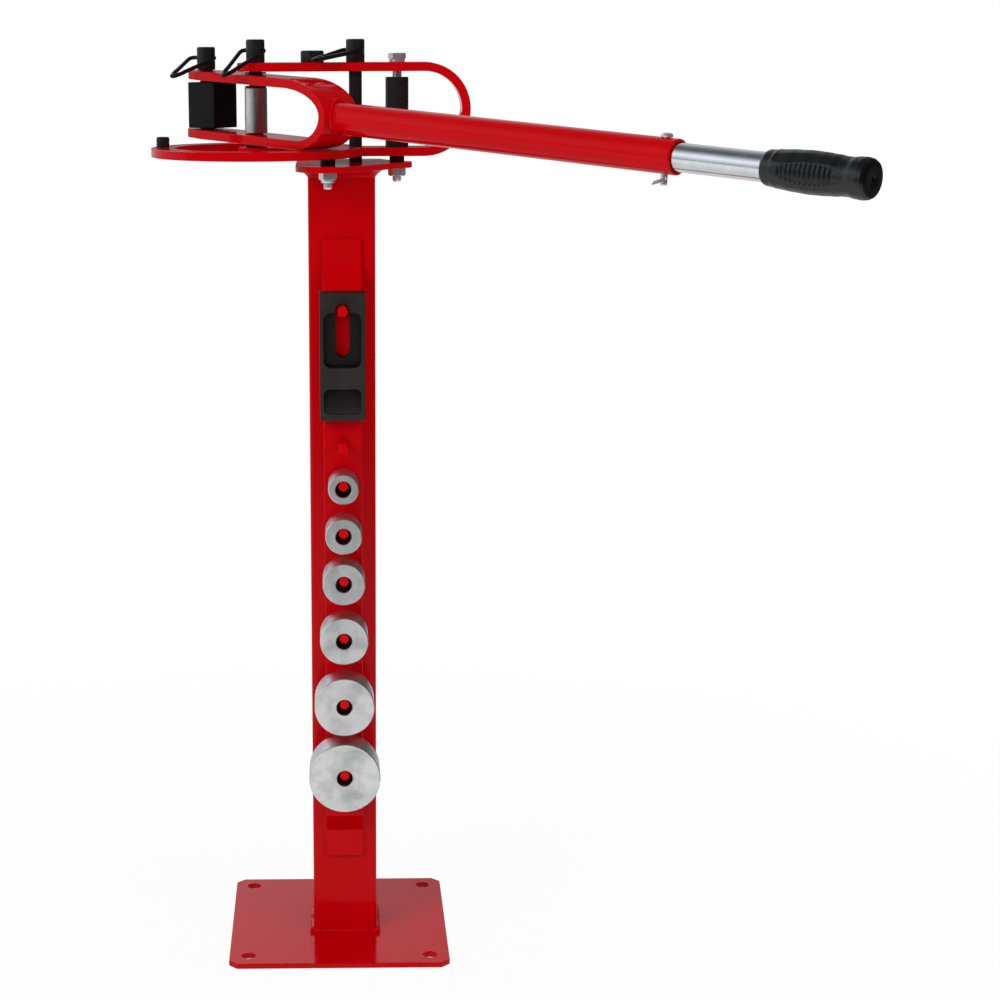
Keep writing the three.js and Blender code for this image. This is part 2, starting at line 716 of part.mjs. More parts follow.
function slottedBlock() {
  const blank = box(slottedWidth, slottedThickness, -slottedHeight, 0);
  const slot = new THREE.Shape();
  const low = slotLength - slotHalfWidth;
  slot.absarc(0, -slotTopInset - slotHalfWidth, slotHalfWidth, 0, Math.PI);
  slot.absarc(0, -slotTopInset - low, slotHalfWidth, Math.PI, Math.PI * 2);
  const pocketMiddle = -upperPocketTopInset - upperPocketHeight / 2;
  const pocketFace = (slottedThickness - pocketDepth) / 2 + pocketDepth;
  const upper = sideSlab(roundedRectangle(upperPocketWidth, upperPocketHeight, pocketCornerRadius), slottedThickness)
    .translate(0, -pocketFace, pocketMiddle);
  const [face, foot, top] = [slottedThickness / 2, -slottedHeight, lowerPocketHeight - slottedHeight];
  const scoop = [
    [face - pocketDepth, top], [face - lowerPocketFootDepth, foot], [face - lowerPocketFootDepth, foot - cutOverrun],
    [face + cutOverrun, foot - cutOverrun], [face + cutOverrun, top],
  ].map(([out, height]) => new THREE.Vector2(out, height));
  const lower = sideSlab(new THREE.Shape(scoop), upperPocketWidth).rotate([0, 0, -90]);
  return blank.subtract(sideSlab(slot, slottedThickness * 2)).subtract(upper).subtract(lower);
}

function pedestal() {
  const group = new THREE.Group();
  const strip = placedAt(piece('rack_strip', rackStrip(), paint), 0, postFront, 0);
  const tubePost = placedAt(piece('post', post(), paint), 0, 0, baseTop);
  group.add(piece('base_plate', basePlate(), paint), tubePost, strip, piece('mount_plate', mountPlate(), paint));
  return group;
}

function fixedHead() {
  const group = new THREE.Group();
  const spacerBore = boltRadius + boltClearance;
  const spacer = tube(spacerRadius, spacerBore, 0, framePlateGap);
  const tallSpacer = tube(tallSpacerRadius, spacerBore, 0, tallSpacerHeight);
  group.add(
    piece('bending_frame', bendingFrame(), paint),
    placedAt(piece('degree_ring', degreeRing(), paint), pivotX, pivotY, frameBottom),
    placedAt(piece('front_spacer', spacer, blackOxide), frontBoltX, frontBoltY, mountPlateTop),
    placedAt(piece('right_spacer', spacer, blackOxide), rightBoltX, pivotY, mountPlateTop),
    placedAt(piece('tall_spacer', tallSpacer, blackOxide), rightBoltX, pivotY, lowerLegTop),
    placedAt(piece('front_bolt', frontBolt(), zincPlate), frontBoltX, frontBoltY, 0),
    placedAt(piece('front_nut', lockingNut(), zincPlate), frontBoltX, frontBoltY, postTop),
    placedAt(piece('right_bolt', rightBolt(), zincPlate), rightBoltX, pivotY, 0),
    placedAt(piece('right_nut', nut(), zincPlate), rightBoltX, pivotY, postTop),
    placedAt(piece('lock_washer', lockWasher(), zincPlate), rightBoltX, pivotY, strapTop),
    placedAt(piece('strap_plug', strapPlug(), blackOxide), strapPlugX, pivotY, strapTop),
    placedAt(piece('stop_pin', stopPin(), blackOxide), pivotX - ringMidRadius, pivotY, lowerLegTop),
  );
  return group;
}

// How far the tilted fork rises above its middle height at a distance beyond the pivot, on the block's side
function forkRise(distance) {
  return distance * forkSlope;
}

function pivotStack() {
  const group = new THREE.Group();
  const bore = pinRadius + pinClearance;
  const forkTop = forkAxisHeight + forkHalf * forkUpright;
  const forkFloor = forkAxisHeight - (forkHalf - forkThickness) * forkUpright;
  const lowerWasher = tube(washerRadius, bore, 0, lowerWasherThickness);
  const upperWasher = tube(washerRadius, bore, 0, upperWasherThickness);
  const dieWasher = tube(washerRadius, bore, 0, dieWasherThickness);
  const dieLow = forkFloor + forkRise(pivotDieRadius) + restGap;
  group.add(
    placedAt(piece('lower_washer', lowerWasher, blackOxide), 0, 0, lowerLegTop),
    placedAt(piece('pivot_die', turnedDie(pivotDieRadius, bore, pivotDieLength), turnedSteel), 0, 0, dieLow),
    placedAt(piece('die_washer', dieWasher, blackOxide), 0, 0, dieLow + pivotDieLength),
    placedAt(piece('upper_washer', upperWasher, blackOxide), 0, 0, forkTop + forkRise(washerRadius) + restGap),
  );
  const pin = pinWithBail('pivot_pin', strapTop - frameBottom - pinEndInset, pivotBailAngle, pivotBailDrop);
  group.add(placedAt(pin, 0, 0, strapTop));
  return placedAt(group, pivotX, pivotY, 0);
}

function blockSet() {
  const group = new THREE.Group();
  const middle = forkAxisHeight + forkRise(blockPinReach);
  const floor = middle - (forkHalf - forkThickness) * forkUpright + forkRise(forkNoseRadius) + restGap;
  const seat = middle + forkHalf * forkUpright + forkRise(pinHeadRadius) + restGap;
  const under = middle - forkHalf * forkUpright;
  const pin = pinWithBail('block_pin', seat - under - pinEndInset, blockBailAngle, blockBailDrop);
  const block = placedAt(piece('press_block', pressBlock(), blackOxide), 0, 0, floor);
  block.rotation.z = THREE.MathUtils.degToRad(blockTurn);
  group.add(block, placedAt(pin, 0, 0, seat));
  return placedAt(group, -blockPinReach, 0, 0);
}

function handle() {
  const group = new THREE.Group();
  const cotterHeight = -handlePipeRadius - restGap - cotterHoleDrop;
  group.add(
    piece('handle_pipe', handlePipe(), paint),
    piece('handle_extension', handleExtension(), zincPlate),
    piece('grip', grip(), rubber),
    placedAt(piece('clevis_pin', clevisPin(), zincPlate), clevisReach, 0, 0),
    placedAt(piece('cotter_pin', cotterPin(), zincPlate), clevisReach, 0, cotterHeight),
  );
  group.rotation.y = THREE.MathUtils.degToRad(handleDroop);
  return placedAt(group, 0, 0, forkAxisHeight);
}

function arm() {
  const group = new THREE.Group();
  group.add(placedAt(piece('fork', fork(), paint), 0, 0, forkAxisHeight), blockSet(), handle());
  group.rotation.z = THREE.MathUtils.degToRad(armAngle);
  return placedAt(group, pivotX, pivotY, 0);
}

// Heights of the dies' centres: each hangs below the one before it
function dieHeights() {
  const heights = [firstDieHeight];
  for (let i = 1; i < dieDiameters.length; i += 1) {
    const apart = (dieDiameters[i - 1] + dieDiameters[i]) / 2 + dieSpaces[i - 1];
    heights.push(heights[i - 1] - apart);
  }
  return heights;
}

function rack() {
  const group = new THREE.Group();
  const hang = dieBoreRadius - pegRadius - restGap;
  const pegHeights = [slottedPegHeight, emptyPegHeight, ...dieHeights().map((height) => height + hang)];
  pegHeights.forEach((height, i) => {
    const peg = piece(`rack_peg_${i + 1}`, towardsFront(disc(pegRadius, 0, pegLength, pegSides)), paint);
    group.add(placedAt(peg, 0, rackFace, height));
  });
  dieHeights().forEach((height, i) => {
    const die = towardsFront(turnedDie(dieDiameters[i] / 2, dieBoreRadius, dieLength));
    group.add(placedAt(piece(`die_${i + 1}`, die, turnedSteel), 0, rackFace - restGap, height));
  });
  const blockY = rackFace - restGap - slottedThickness / 2;
  group.add(placedAt(piece('slotted_block', slottedBlock(), castIron), 0, blockY, slottedTop));
  return group;
}

function supportPin() {
  const shankLength = strapTop - postTop - pinEndInset;
  return placedAt(pinWithBail('support_pin', shankLength, supportBailAngle, supportBailDrop), supportPinX, pivotY, strapTop);
}

const pipeBender = new THREE.Group();
pipeBender.add(pedestal(), fixedHead(), pivotStack(), supportPin(), arm(), rack());

export default pipeBender;
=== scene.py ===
# A free-standing pipe bender in gloss red powder coat, with blackened pins and bright turned dies.
# Sizes are in millimetres in the part's own frame: +Z up, the rack of dies towards -Y.
import math

import bmesh
import bpy
from mathutils import Matrix, Vector, noise


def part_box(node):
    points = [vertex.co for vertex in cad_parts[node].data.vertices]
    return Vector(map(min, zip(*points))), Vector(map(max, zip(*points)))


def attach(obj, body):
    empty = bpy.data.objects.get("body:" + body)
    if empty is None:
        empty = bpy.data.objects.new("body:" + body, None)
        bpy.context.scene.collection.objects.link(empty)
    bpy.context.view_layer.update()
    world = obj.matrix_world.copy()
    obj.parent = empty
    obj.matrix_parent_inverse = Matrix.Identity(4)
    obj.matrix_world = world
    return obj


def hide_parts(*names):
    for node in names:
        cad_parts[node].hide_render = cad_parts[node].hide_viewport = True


MM = 0.001
NEAR = 0.001  # points nearer than this are one point

# Base plate and post
BASE_HALF = 120
BASE_THICKNESS = 6
BASE_SHIFT = 7
BASE_CORNER_CUT = 9
ANCHOR_RADIUS = 7.5
ANCHOR_PLACE = 99
POST_HALF = 35
POST_TOP = 851
POST_CORNER = 4
PLATE_TOP = 857

# Bending frame and degree ring
BAR_WIDTH = 38
BAR_THICKNESS = 9
PIVOT = Vector((-88, -16, 0))
FRAME_BEND_X = 86
FRAME_LOW = 863.5
FRAME_HIGH = 958.5
LEG_TOP = FRAME_LOW + BAR_THICKNESS
RING_OUTER = 109.5
RING_INNER = 85
RING_MIDDLE = (RING_OUTER + RING_INNER) / 2
RING_GAP = 0.3
SUPPORT_PIN_X = 15
RIGHT_BOLT_X = 58
STRAP_PLUG_X = -29.4
FRONT_BOLT = Vector((-14.05, -79.16, 0))
BOLT_RADIUS = 4.75
BOLT_HOLE = 5.15
HEX_CORNER = 9.24
NUT_HEIGHT = 8.5
COLLAR_HEIGHT = 3.5
BOLT_TAIL = 6
HEAD_HEIGHT = 6.4
LOCK_WASHER_HEIGHT = 2.8
LOCK_WASHER_RADIUS = 8.2
SPACER_RADIUS = 7.7
TALL_SPACER_RADIUS = 11.9
TALL_SPACER_HEIGHT = 71

# Pins and their wire loops. Each share is a point of a loop's side: across it, and out along it
PIN_RADIUS = 6.75
PIN_HOLE = 7.25
PIN_HEAD_RADIUS = 9.6
PIN_HEAD_HEIGHT = 23.5
WASHER_RADIUS = 11
PIVOT_DIE_RADIUS = 11.6
BAIL_DROP_IN_HEAD = 11
BAIL_WIRE = 2.15
BAIL_LENGTH = 58
BAIL_NEAR_SIDE = 12.8
BAIL_NEAR_SHARES = [
    (0.35, 0), (0.56, 0), (0.85, 0), (1, 0.065), (0.98, 0.16), (0.75, 0.4), (0.49, 0.66), (0.25, 0.93),
]
BAIL_FAR_SHARES = [
    (0.25, 0), (0.5, 0), (0.78, 0), (0.96, 0.02), (1, 0.08), (0.93, 0.17), (0.71, 0.4), (0.46, 0.66), (0.2, 0.93),
]

# Swinging arm
ARM_ANGLE = -45
FORK_DROOP = 2.7
HANDLE_DROOP = 3.3
FORK_AXIS = 911.71
FORK_HALF = 34.75
FORK_WIDTH = 48
FORK_THICKNESS = 9.2
FORK_REACH = 124.5
FORK_LOW_BEND = 43
FORK_HIGH_BEND = 63
FORK_NOSE = 20
FORK_NOSE_TAPER = 15
BLOCK_PIN_REACH = 76
BLOCK_SIZE = 36.5
BLOCK_BORE_OFFSET = 8
BLOCK_ANGLE = -38.5
HANDLE_RADIUS = 15.875
HANDLE_WALL = 2.8
HANDLE_END = 537
EXTENSION_RADIUS = 12.7
EXTENSION_WALL = 2.4
CLEVIS_REACH = 523
GRIP_START = 629.5
GRIP_LENGTH = 100.8
GRIP_RADIUS = 18.3

# Rack
RACK_HALF_WIDTH = 20
RACK_THICKNESS = 5
RACK_FACE = -65
RACK_STANDOFF = 25
RACK_LOW = 98
RACK_LOW_BEND = 131
RACK_HIGH_BEND = 752
RACK_HIGH = 779
PEG_RADIUS = 5
PEG_LENGTH = 38.4
DIE_BORE = 8.3
DIE_LENGTH = 38.1
DIE_DIAMETERS = [31.75, 38.1, 44.45, 50.8, 63.5, 76.2]

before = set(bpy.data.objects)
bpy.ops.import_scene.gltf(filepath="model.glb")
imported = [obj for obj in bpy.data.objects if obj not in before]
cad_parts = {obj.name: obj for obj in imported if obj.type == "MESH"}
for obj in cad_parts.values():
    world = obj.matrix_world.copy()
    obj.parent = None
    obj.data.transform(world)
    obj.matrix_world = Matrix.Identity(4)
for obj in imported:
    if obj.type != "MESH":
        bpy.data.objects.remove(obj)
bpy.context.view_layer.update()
scene = bpy.context.scene


def linear(colour):
    """An sRGB hex colour as the linear colour that a shader takes."""
    shares = [int(colour[i:i + 2], 16) / 255 for i in (1, 3, 5)]
    return (*((s / 12.92 if s <= 0.04045 else ((s + 0.055) / 1.055) ** 2.4) for s in shares), 1)


def add(tree, kind, inputs=None, **settings):
    """Adds a node with its settings. An input is a value, or the socket that feeds it."""
    made = tree.nodes.new(kind)
    for name, value in settings.items():
        setattr(made, name, value)
    for name, value in (inputs or {}).items():
        if isinstance(value, bpy.types.NodeSocket):
            tree.links.new(value, made.inputs[name])
        else:
            made.inputs[name].default_value = value
    return made


def new_material(name):
    material = bpy.data.materials.new(name)
    material.use_nodes = True
    material.node_tree.nodes.clear()
    return material, material.node_tree


def surface(tree, **inputs):
    """Ends a material with a principled shader. Underscores in a name stand for spaces."""
    shader = add(tree, "ShaderNodeBsdfPrincipled", {key.replace("_", " "): value for key, value in inputs.items()})
    add(tree, "ShaderNodeOutputMaterial", {"Surface": shader.outputs[0]})


def powder_coat_red():
    """Gloss red polyester powder coat, sprayed and baked: deep even red, a mirror-like skin with fine orange peel."""
    material, tree = new_material("powder_coat_red")
    place = add(tree, "ShaderNodeTexCoord").outputs["Object"]
    # The orange peel is about 2.4 mm across, and the coat's broad unevenness about 70 mm
    peel = add(tree, "ShaderNodeTexNoise", {"Vector": place, "Scale": 420, "Detail": 2})
    broad = add(tree, "ShaderNodeTexNoise", {"Vector": place, "Scale": 14, "Detail": 3})
    tone = add(tree, "ShaderNodeMix", {0: broad.outputs["Fac"], 6: linear("#c40008"), 7: linear("#d3020f")},
               data_type="RGBA")
    gloss = add(tree, "ShaderNodeMapRange", {"Value": broad.outputs["Fac"], "To Min": 0.1, "To Max": 0.16})
    bump = add(tree, "ShaderNodeBump", {"Height": peel.outputs["Fac"], "Strength": 0.1, "Distance": 0.0004})
    surface(tree, Base_Color=tone.outputs[2], Roughness=gloss.outputs[0], Normal=bump.outputs[0], IOR=1.2)
    return material


def black_oxide(name, deep, rubbed, dull, sharp):
    """Mild steel blackened in a hot oxide bath: near black with a brown cast, satin where it was turned, dull where
    it was sawn, and with a shine on drawn wire."""
    material, tree = new_material(name)
    place = add(tree, "ShaderNodeTexCoord").outputs["Object"]
    # Blotches are about 11 mm across. The grain is drawn at 1.1 mm, coarser than the real one, so that it shows
    blotch = add(tree, "ShaderNodeTexNoise", {"Vector": place, "Scale": 90, "Detail": 4, "Roughness": 0.6})
    grain = add(tree, "ShaderNodeTexNoise", {"Vector": place, "Scale": 900, "Detail": 2})
    tone = add(tree, "ShaderNodeMix", {0: blotch.outputs["Fac"], 6: linear(deep), 7: linear(rubbed)},
               data_type="RGBA")
    gloss = add(tree, "ShaderNodeMapRange", {"Value": blotch.outputs["Fac"], "To Min": sharp, "To Max": dull})
    bump = add(tree, "ShaderNodeBump", {"Height": grain.outputs["Fac"], "Strength": 0.15, "Distance": 0.0003})
    surface(tree, Base_Color=tone.outputs[2], Roughness=gloss.outputs[0], Normal=bump.outputs[0], IOR=1.3)
    return material


def turned_steel():
    """Bright bar stock faced and turned on a lathe: fine rings of tool marks, a little oil and handling stain."""
    material, tree = new_material("turned_bright_steel")
    place = add(tree, "ShaderNodeTexCoord").outputs["Object"]
    lathe = add(tree, "ShaderNodeUVMap", uv_map="turning").outputs[0]
    parts = add(tree, "ShaderNodeSeparateXYZ", {0: lathe})
    along = add(tree, "ShaderNodeMath", {0: parts.outputs["X"], 1: parts.outputs["Y"]}, operation="ADD")
    tool_mark_pitch = 0.8  # millimetres, about twice the real feed, so that the marks show
    rings = add(tree, "ShaderNodeMath", {0: along.outputs[0], 1: 2 * math.pi / tool_mark_pitch}, operation="MULTIPLY")
    marks = add(tree, "ShaderNodeMath", {0: rings.outputs[0]}, operation="SINE")
    feed = add(tree, "ShaderNodeTexNoise", {"W": along.outputs[0], "Scale": 1.1, "Detail": 3}, noise_dimensions="1D")
    height = add(tree, "ShaderNodeMath", {0: marks.outputs[0], 1: 0.25, 2: feed.outputs["Fac"]},
                 operation="MULTIPLY_ADD")
    # Stains are about 18 mm across
    stain = add(tree, "ShaderNodeTexNoise", {"Vector": place, "Scale": 55, "Detail": 5, "Roughness": 0.62})
    worn = add(tree, "ShaderNodeMapRange", {"Value": stain.outputs["Fac"], "From Min": 0.3, "From Max": 0.6})
    tone = add(tree, "ShaderNodeMix", {0: worn.outputs[0], 6: linear("#c2c5c4"), 7: linear("#dcdedd")},
               data_type="RGBA")
    gloss = add(tree, "ShaderNodeMapRange", {"Value": worn.outputs[0], "To Min": 0.42, "To Max": 0.3})
    bump = add(tree, "ShaderNodeBump", {"Height": height.outputs[0], "Strength": 0.25, "Distance": 0.0002})
    surface(tree, Base_Color=tone.outputs[2], Metallic=1.0, Roughness=gloss.outputs[0], Normal=bump.outputs[0])
    return material


def zinc_plate(name, metallic, sharp, dulled):
    """Steel with zinc plating: cool silver, with soft streaks and small dull spots. The bolts' plating is duller than
    the tube's."""
    material, tree = new_material(name)
    place = add(tree, "ShaderNodeTexCoord").outputs["Object"]
    # Streaks are about 170 mm by 8 mm, and spots about 4 mm across
    drawn = add(tree, "ShaderNodeMapping", {"Vector": place, "Rotation": (0, 0, math.radians(-ARM_ANGLE)),
                                            "Scale": (6, 120, 120)})
    streak = add(tree, "ShaderNodeTexNoise", {"Vector": drawn.outputs[0], "Scale": 1, "Detail": 4})
    spots = add(tree, "ShaderNodeTexNoise", {"Vector": place, "Scale": 260, "Detail": 3})
    dull = add(tree, "ShaderNodeMapRange", {"Value": spots.outputs["Fac"], "From Min": 0.58, "From Max": 0.75})
    tone = add(tree, "ShaderNodeMix", {0: streak.outputs["Fac"], 6: linear("#ccd0d3"), 7: linear("#e8eaec")},
               data_type="RGBA")
    gloss = add(tree, "ShaderNodeMapRange", {"Value": streak.outputs["Fac"], "To Min": sharp, "To Max": dulled})
    rough = add(tree, "ShaderNodeMath", {0: dull.outputs[0], 1: 0.2, 2: gloss.outputs[0]}, operation="MULTIPLY_ADD")
    bump = add(tree, "ShaderNodeBump", {"Height": streak.outputs["Fac"], "Strength": 0.06, "Distance": 0.0003})
    surface(tree, Base_Color=tone.outputs[2], Metallic=metallic, Roughness=rough.outputs[0], Normal=bump.outputs[0])
    return material


def oiled_iron_pocket_shade():
    """Cast iron, oiled and not painted: dark brown-grey sand-cast skin, with the casting's grain, and painted shade
    that darkens the pockets' floors."""
    material, tree = new_material("oiled_cast_iron_pocket_shade")
    place = add(tree, "ShaderNodeTexCoord").outputs["Object"]
    # Sand grain is drawn at about 1.4 mm, and patches at about 22 mm
    sand = add(tree, "ShaderNodeTexNoise", {"Vector": place, "Scale": 700, "Detail": 4, "Roughness": 0.65})
    patch = add(tree, "ShaderNodeTexNoise", {"Vector": place, "Scale": 45, "Detail": 5, "Roughness": 0.6})
    face = add(tree, "ShaderNodeMix", {0: patch.outputs["Fac"], 6: linear("#211e1c"), 7: linear("#3a3431")},
               data_type="RGBA")
    sides = add(tree, "ShaderNodeSeparateXYZ", {0: place})
    # Painted shade: faces that lie further back than the block's face, the pockets' floors, are darkened towards near
    # black. The block's face stands 81 mm in front of the post's middle and its pockets are up to 6 mm deep
    recess_shade = add(tree, "ShaderNodeMapRange", {"Value": sides.outputs["Y"], "From Min": -0.0808, "From Max": -0.0765})
    tone = add(tree, "ShaderNodeMix", {0: recess_shade.outputs[0], 6: face.outputs[2], 7: linear("#110e0d")}, data_type="RGBA")
    gloss = add(tree, "ShaderNodeMapRange", {"Value": patch.outputs["Fac"], "To Min": 0.45, "To Max": 0.7})
    bump = add(tree, "ShaderNodeBump", {"Height": sand.outputs["Fac"], "Strength": 0.35, "Distance": 0.0004})
    surface(tree, Base_Color=tone.outputs[2], Metallic=0.3, Roughness=gloss.outputs[0], Normal=bump.outputs[0])
    return material


def moulded_rubber():
    """Black PVC rubber from a steel mould: soft sheen on the raised pads, and a fine even grain."""
    material, tree = new_material("moulded_black_rubber")
    place = add(tree, "ShaderNodeTexCoord").outputs["Object"]
    # The mould's grain is drawn at about 0.9 mm, and handling marks at about 17 mm
    grain = add(tree, "ShaderNodeTexNoise", {"Vector": place, "Scale": 1100, "Detail": 2})
    hand = add(tree, "ShaderNodeTexNoise", {"Vector": place, "Scale": 60, "Detail": 4})
    gloss = add(tree, "ShaderNodeMapRange", {"Value": hand.outputs["Fac"], "To Min": 0.26, "To Max": 0.4})
    tone = add(tree, "ShaderNodeMix", {0: hand.outputs["Fac"], 6: linear("#050506"), 7: linear("#0e0e0f")},
               data_type="RGBA")
    bump = add(tree, "ShaderNodeBump", {"Height": grain.outputs["Fac"], "Strength": 0.12, "Distance": 0.0002})
    surface(tree, Base_Color=tone.outputs[2], Roughness=gloss.outputs[0], Normal=bump.outputs[0], IOR=1.5)
    return material


def studio_paper():
    """Matt white paper on the floor. The camera sees it white with the object's shadow. Polished faces see it bright
    to the left, a little dimmer under the object, and dark where it ends in front and at the right."""
    material, tree = new_material("studio_paper")
    path = add(tree, "ShaderNodeLightPath")
    place = add(tree, "ShaderNodeTexCoord").outputs["Object"]
    sides = add(tree, "ShaderNodeSeparateXYZ", {0: place})
    away = add(tree, "ShaderNodeVectorMath", {0: place}, operation="LENGTH")
    clear = add(tree, "ShaderNodeMapRange", {"Value": away.outputs["Value"], "From Min": 0.2, "From Max": 1.2,
                                             "To Min": 0.95, "To Max": 1.0})
    # Under the base plate the paper is plain, so its anchor holes look dark
    plate_x = add(tree, "ShaderNodeMath", {0: sides.outputs["X"], 1: BASE_SHIFT * MM}, operation="ADD")
    plate_half_x = add(tree, "ShaderNodeMath", {0: plate_x.outputs[0]}, operation="ABSOLUTE")
    plate_half_y = add(tree, "ShaderNodeMath", {0: sides.outputs["Y"]}, operation="ABSOLUTE")
    plate_half = add(tree, "ShaderNodeMath", {0: plate_half_x.outputs[0], 1: plate_half_y.outputs[0]},
                     operation="MAXIMUM")
    plain_half = (BASE_HALF - 5) * MM
    open_paper = add(tree, "ShaderNodeMath", {0: plate_half.outputs[0], 1: plain_half}, operation="GREATER_THAN")
    shown = add(tree, "ShaderNodeMath", {0: clear.outputs[0], 1: open_paper.outputs[0]}, operation="MULTIPLY")
    front = add(tree, "ShaderNodeMapRange", {"Value": sides.outputs["Y"], "From Min": -3.3, "From Max": -1.0,
                                             "To Min": 0.03, "To Max": 1.05})
    under = add(tree, "ShaderNodeMapRange", {"Value": sides.outputs["Y"], "From Min": -0.7, "From Max": -0.3,
                                             "To Min": 1.0, "To Max": 0.72})
    right = add(tree, "ShaderNodeMapRange", {"Value": sides.outputs["X"], "From Min": 0.4, "From Max": 1.8,
                                             "To Min": 1.0, "To Max": 0.12})
    paper_near = add(tree, "ShaderNodeMath", {0: front.outputs[0], 1: under.outputs[0]}, operation="MULTIPLY")
    paper_shine = add(tree, "ShaderNodeMath", {0: paper_near.outputs[0], 1: right.outputs[0]}, operation="MULTIPLY")
    seen = path.outputs["Is Camera Ray"]
    glossy = path.outputs["Is Glossy Ray"]
    share = add(tree, "ShaderNodeMath", {0: seen, 1: shown.outputs[0], 2: glossy}, operation="MULTIPLY_ADD")
    level = add(tree, "ShaderNodeMath", {0: glossy, 1: paper_shine.outputs[0], 2: seen}, operation="MULTIPLY_ADD")
    paper = add(tree, "ShaderNodeBsdfDiffuse", {"Color": linear("#f4f4f4")})
    light = add(tree, "ShaderNodeEmission", {"Color": linear("#ffffff"), "Strength": level.outputs[0]})
    mixed = add(tree, "ShaderNodeMixShader", {0: share.outputs[0], 1: paper.outputs[0], 2: light.outputs[0]})
    add(tree, "ShaderNodeOutputMaterial", {"Surface": mixed.outputs[0]})
    return material


RED = powder_coat_red()
BLACK = black_oxide("black_oxide_turned", "#141313", "#272423", 0.5, 0.3)
BLACK_BAR = black_oxide("black_oxide_sawn_bar", "#040404", "#0b0a0a", 0.62, 0.5)
BLACK_WIRE = black_oxide("black_oxide_wire", "#0b0a0a", "#191818", 0.3, 0.18)
STEEL = turned_steel()
ZINC = zinc_plate("bright_zinc_plate", 1.0, 0.13, 0.24)
ZINC_BOLT = zinc_plate("dull_zinc_plate", 0.75, 0.2, 0.3)
IRON = oiled_iron_pocket_shade()
RUBBER = moulded_rubber()


def arc(x, y, radius, start, end, steps=24):
    """Points in plan along an arc, from one angle to another in degrees."""
    turns = [math.radians(start + (end - start) * i / steps) for i in range(steps + 1)]
    return [(x + radius * math.cos(t), y + radius * math.sin(t)) for t in turns]


def circle(x, y, radius, steps=64):
    return arc(x, y, radius, 0, 360, steps)[:-1]


def rounded(width, height, radius, steps=10):
    """Points in plan round a rectangle with rounded corners."""
    points = []
    for sx, sy, start in ((1, 1, 0), (-1, 1, 90), (-1, -1, 180), (1, -1, 270)):
        points += arc(sx * (width / 2 - radius), sy * (height / 2 - radius), radius, start, start + 90, steps)
    return points


def cleaned(bm):
    """Merges what touches and turns every face outwards."""
    bmesh.ops.remove_doubles(bm, verts=bm.verts, dist=NEAR)
    bmesh.ops.recalc_face_normals(bm, faces=bm.faces)
    return bm


def plate(loops, low, high):
    """A flat plate from an outline and any holes, in plan, between two heights."""
    bm = bmesh.new()
    edges = []
    for loop in loops:
        ring = [bm.verts.new((x, y, low)) for x, y in loop]
        edges += [bm.edges.new((ring[i - 1], ring[i])) for i in range(len(ring))]
    bmesh.ops.triangle_fill(bm, use_beauty=True, edges=edges)
    bmesh.ops.dissolve_limit(bm, angle_limit=math.radians(0.1), verts=bm.verts, edges=bm.edges)
    raised = bmesh.ops.extrude_face_region(bm, geom=bm.faces[:])["geom"]
    bmesh.ops.translate(bm, verts=[v for v in raised if isinstance(v, bmesh.types.BMVert)], vec=(0, 0, high - low))
    return cleaned(bm)


def turned(profile, sides=72):
    """A solid turned about Z from points of radius and height. Its turning map holds both, for the tool marks."""
    bm = bmesh.new()
    verts = [bm.verts.new((radius, 0, height)) for radius, height in profile]
    edges = [bm.edges.new(pair) for pair in zip(verts, verts[1:])]
    bmesh.ops.spin(bm, geom=verts + edges, cent=(0, 0, 0), axis=(0, 0, 1), angle=2 * math.pi, steps=sides,
                   use_merge=True)
    cleaned(bm)
    layer = bm.loops.layers.uv.new("turning")
    for face in bm.faces:
        for loop in face.loops:
            loop[layer].uv = (math.hypot(loop.vert.co.x, loop.vert.co.y), loop.vert.co.z)
    return bm


def solid_round(radius, low, high, ease=0.6, sides=72):
    return turned([(0, low), (radius - ease, low), (radius, low + ease), (radius, high - ease),
                   (radius - ease, high), (0, high)], sides)


def hollow_round(radius, bore, low, high, ease=0.4, sides=72):
    return turned([(bore, low + ease), (bore + ease, low), (radius - ease, low), (radius, low + ease),
                   (radius, high - ease), (radius - ease, high), (bore + ease, high), (bore, high - ease),
                   (bore, low + ease)], sides)


def box(width, depth, low, high):
    bm = bmesh.new()
    bmesh.ops.create_cube(bm, size=1)
    bmesh.ops.scale(bm, verts=bm.verts, vec=(width, depth, high - low))
    bmesh.ops.translate(bm, verts=bm.verts, vec=(0, 0, (low + high) / 2))
    return bm


def as_mesh(name, bm):
    mesh = bpy.data.meshes.new(name)
    bm.to_mesh(mesh)
    bm.free()
    return mesh


def placed(name, data):
    """A new object in the scene that holds a mesh, a curve, a lamp or a camera."""
    made = bpy.data.objects.new(name, data)
    scene.collection.objects.link(made)
    return made


def moved(bm, x=0, y=0, z=0):
    bmesh.ops.translate(bm, verts=bm.verts, vec=(x, y, z))
    return bm


def rotated(bm, degrees, axis):
    bmesh.ops.rotate(bm, verts=bm.verts, cent=(0, 0, 0), matrix=Matrix.Rotation(math.radians(degrees), 3, axis))
    return bm


def joined(bm, *others):
    """Adds other meshes to the first one."""
    for other in others:
        mesh = as_mesh("joining", other)
        bm.from_mesh(mesh)
        bpy.data.meshes.remove(mesh)
    return bm


def cut(bm, tool, operation="DIFFERENCE"):
    """The first solid with the second taken out of it, or kept only where both are."""
    objects = [placed("cutting", as_mesh("cutting", source)) for source in (bm, tool)]
    modifier = objects[0].modifiers.new("cut", "BOOLEAN")
    modifier.object, modifier.operation, modifier.solver = objects[1], operation, "EXACT"
    bpy.context.view_layer.update()
    result = bmesh.new()
    result.from_object(objects[0], bpy.context.evaluated_depsgraph_get())
    for made in objects:
        bpy.data.meshes.remove(made.data)
    return result


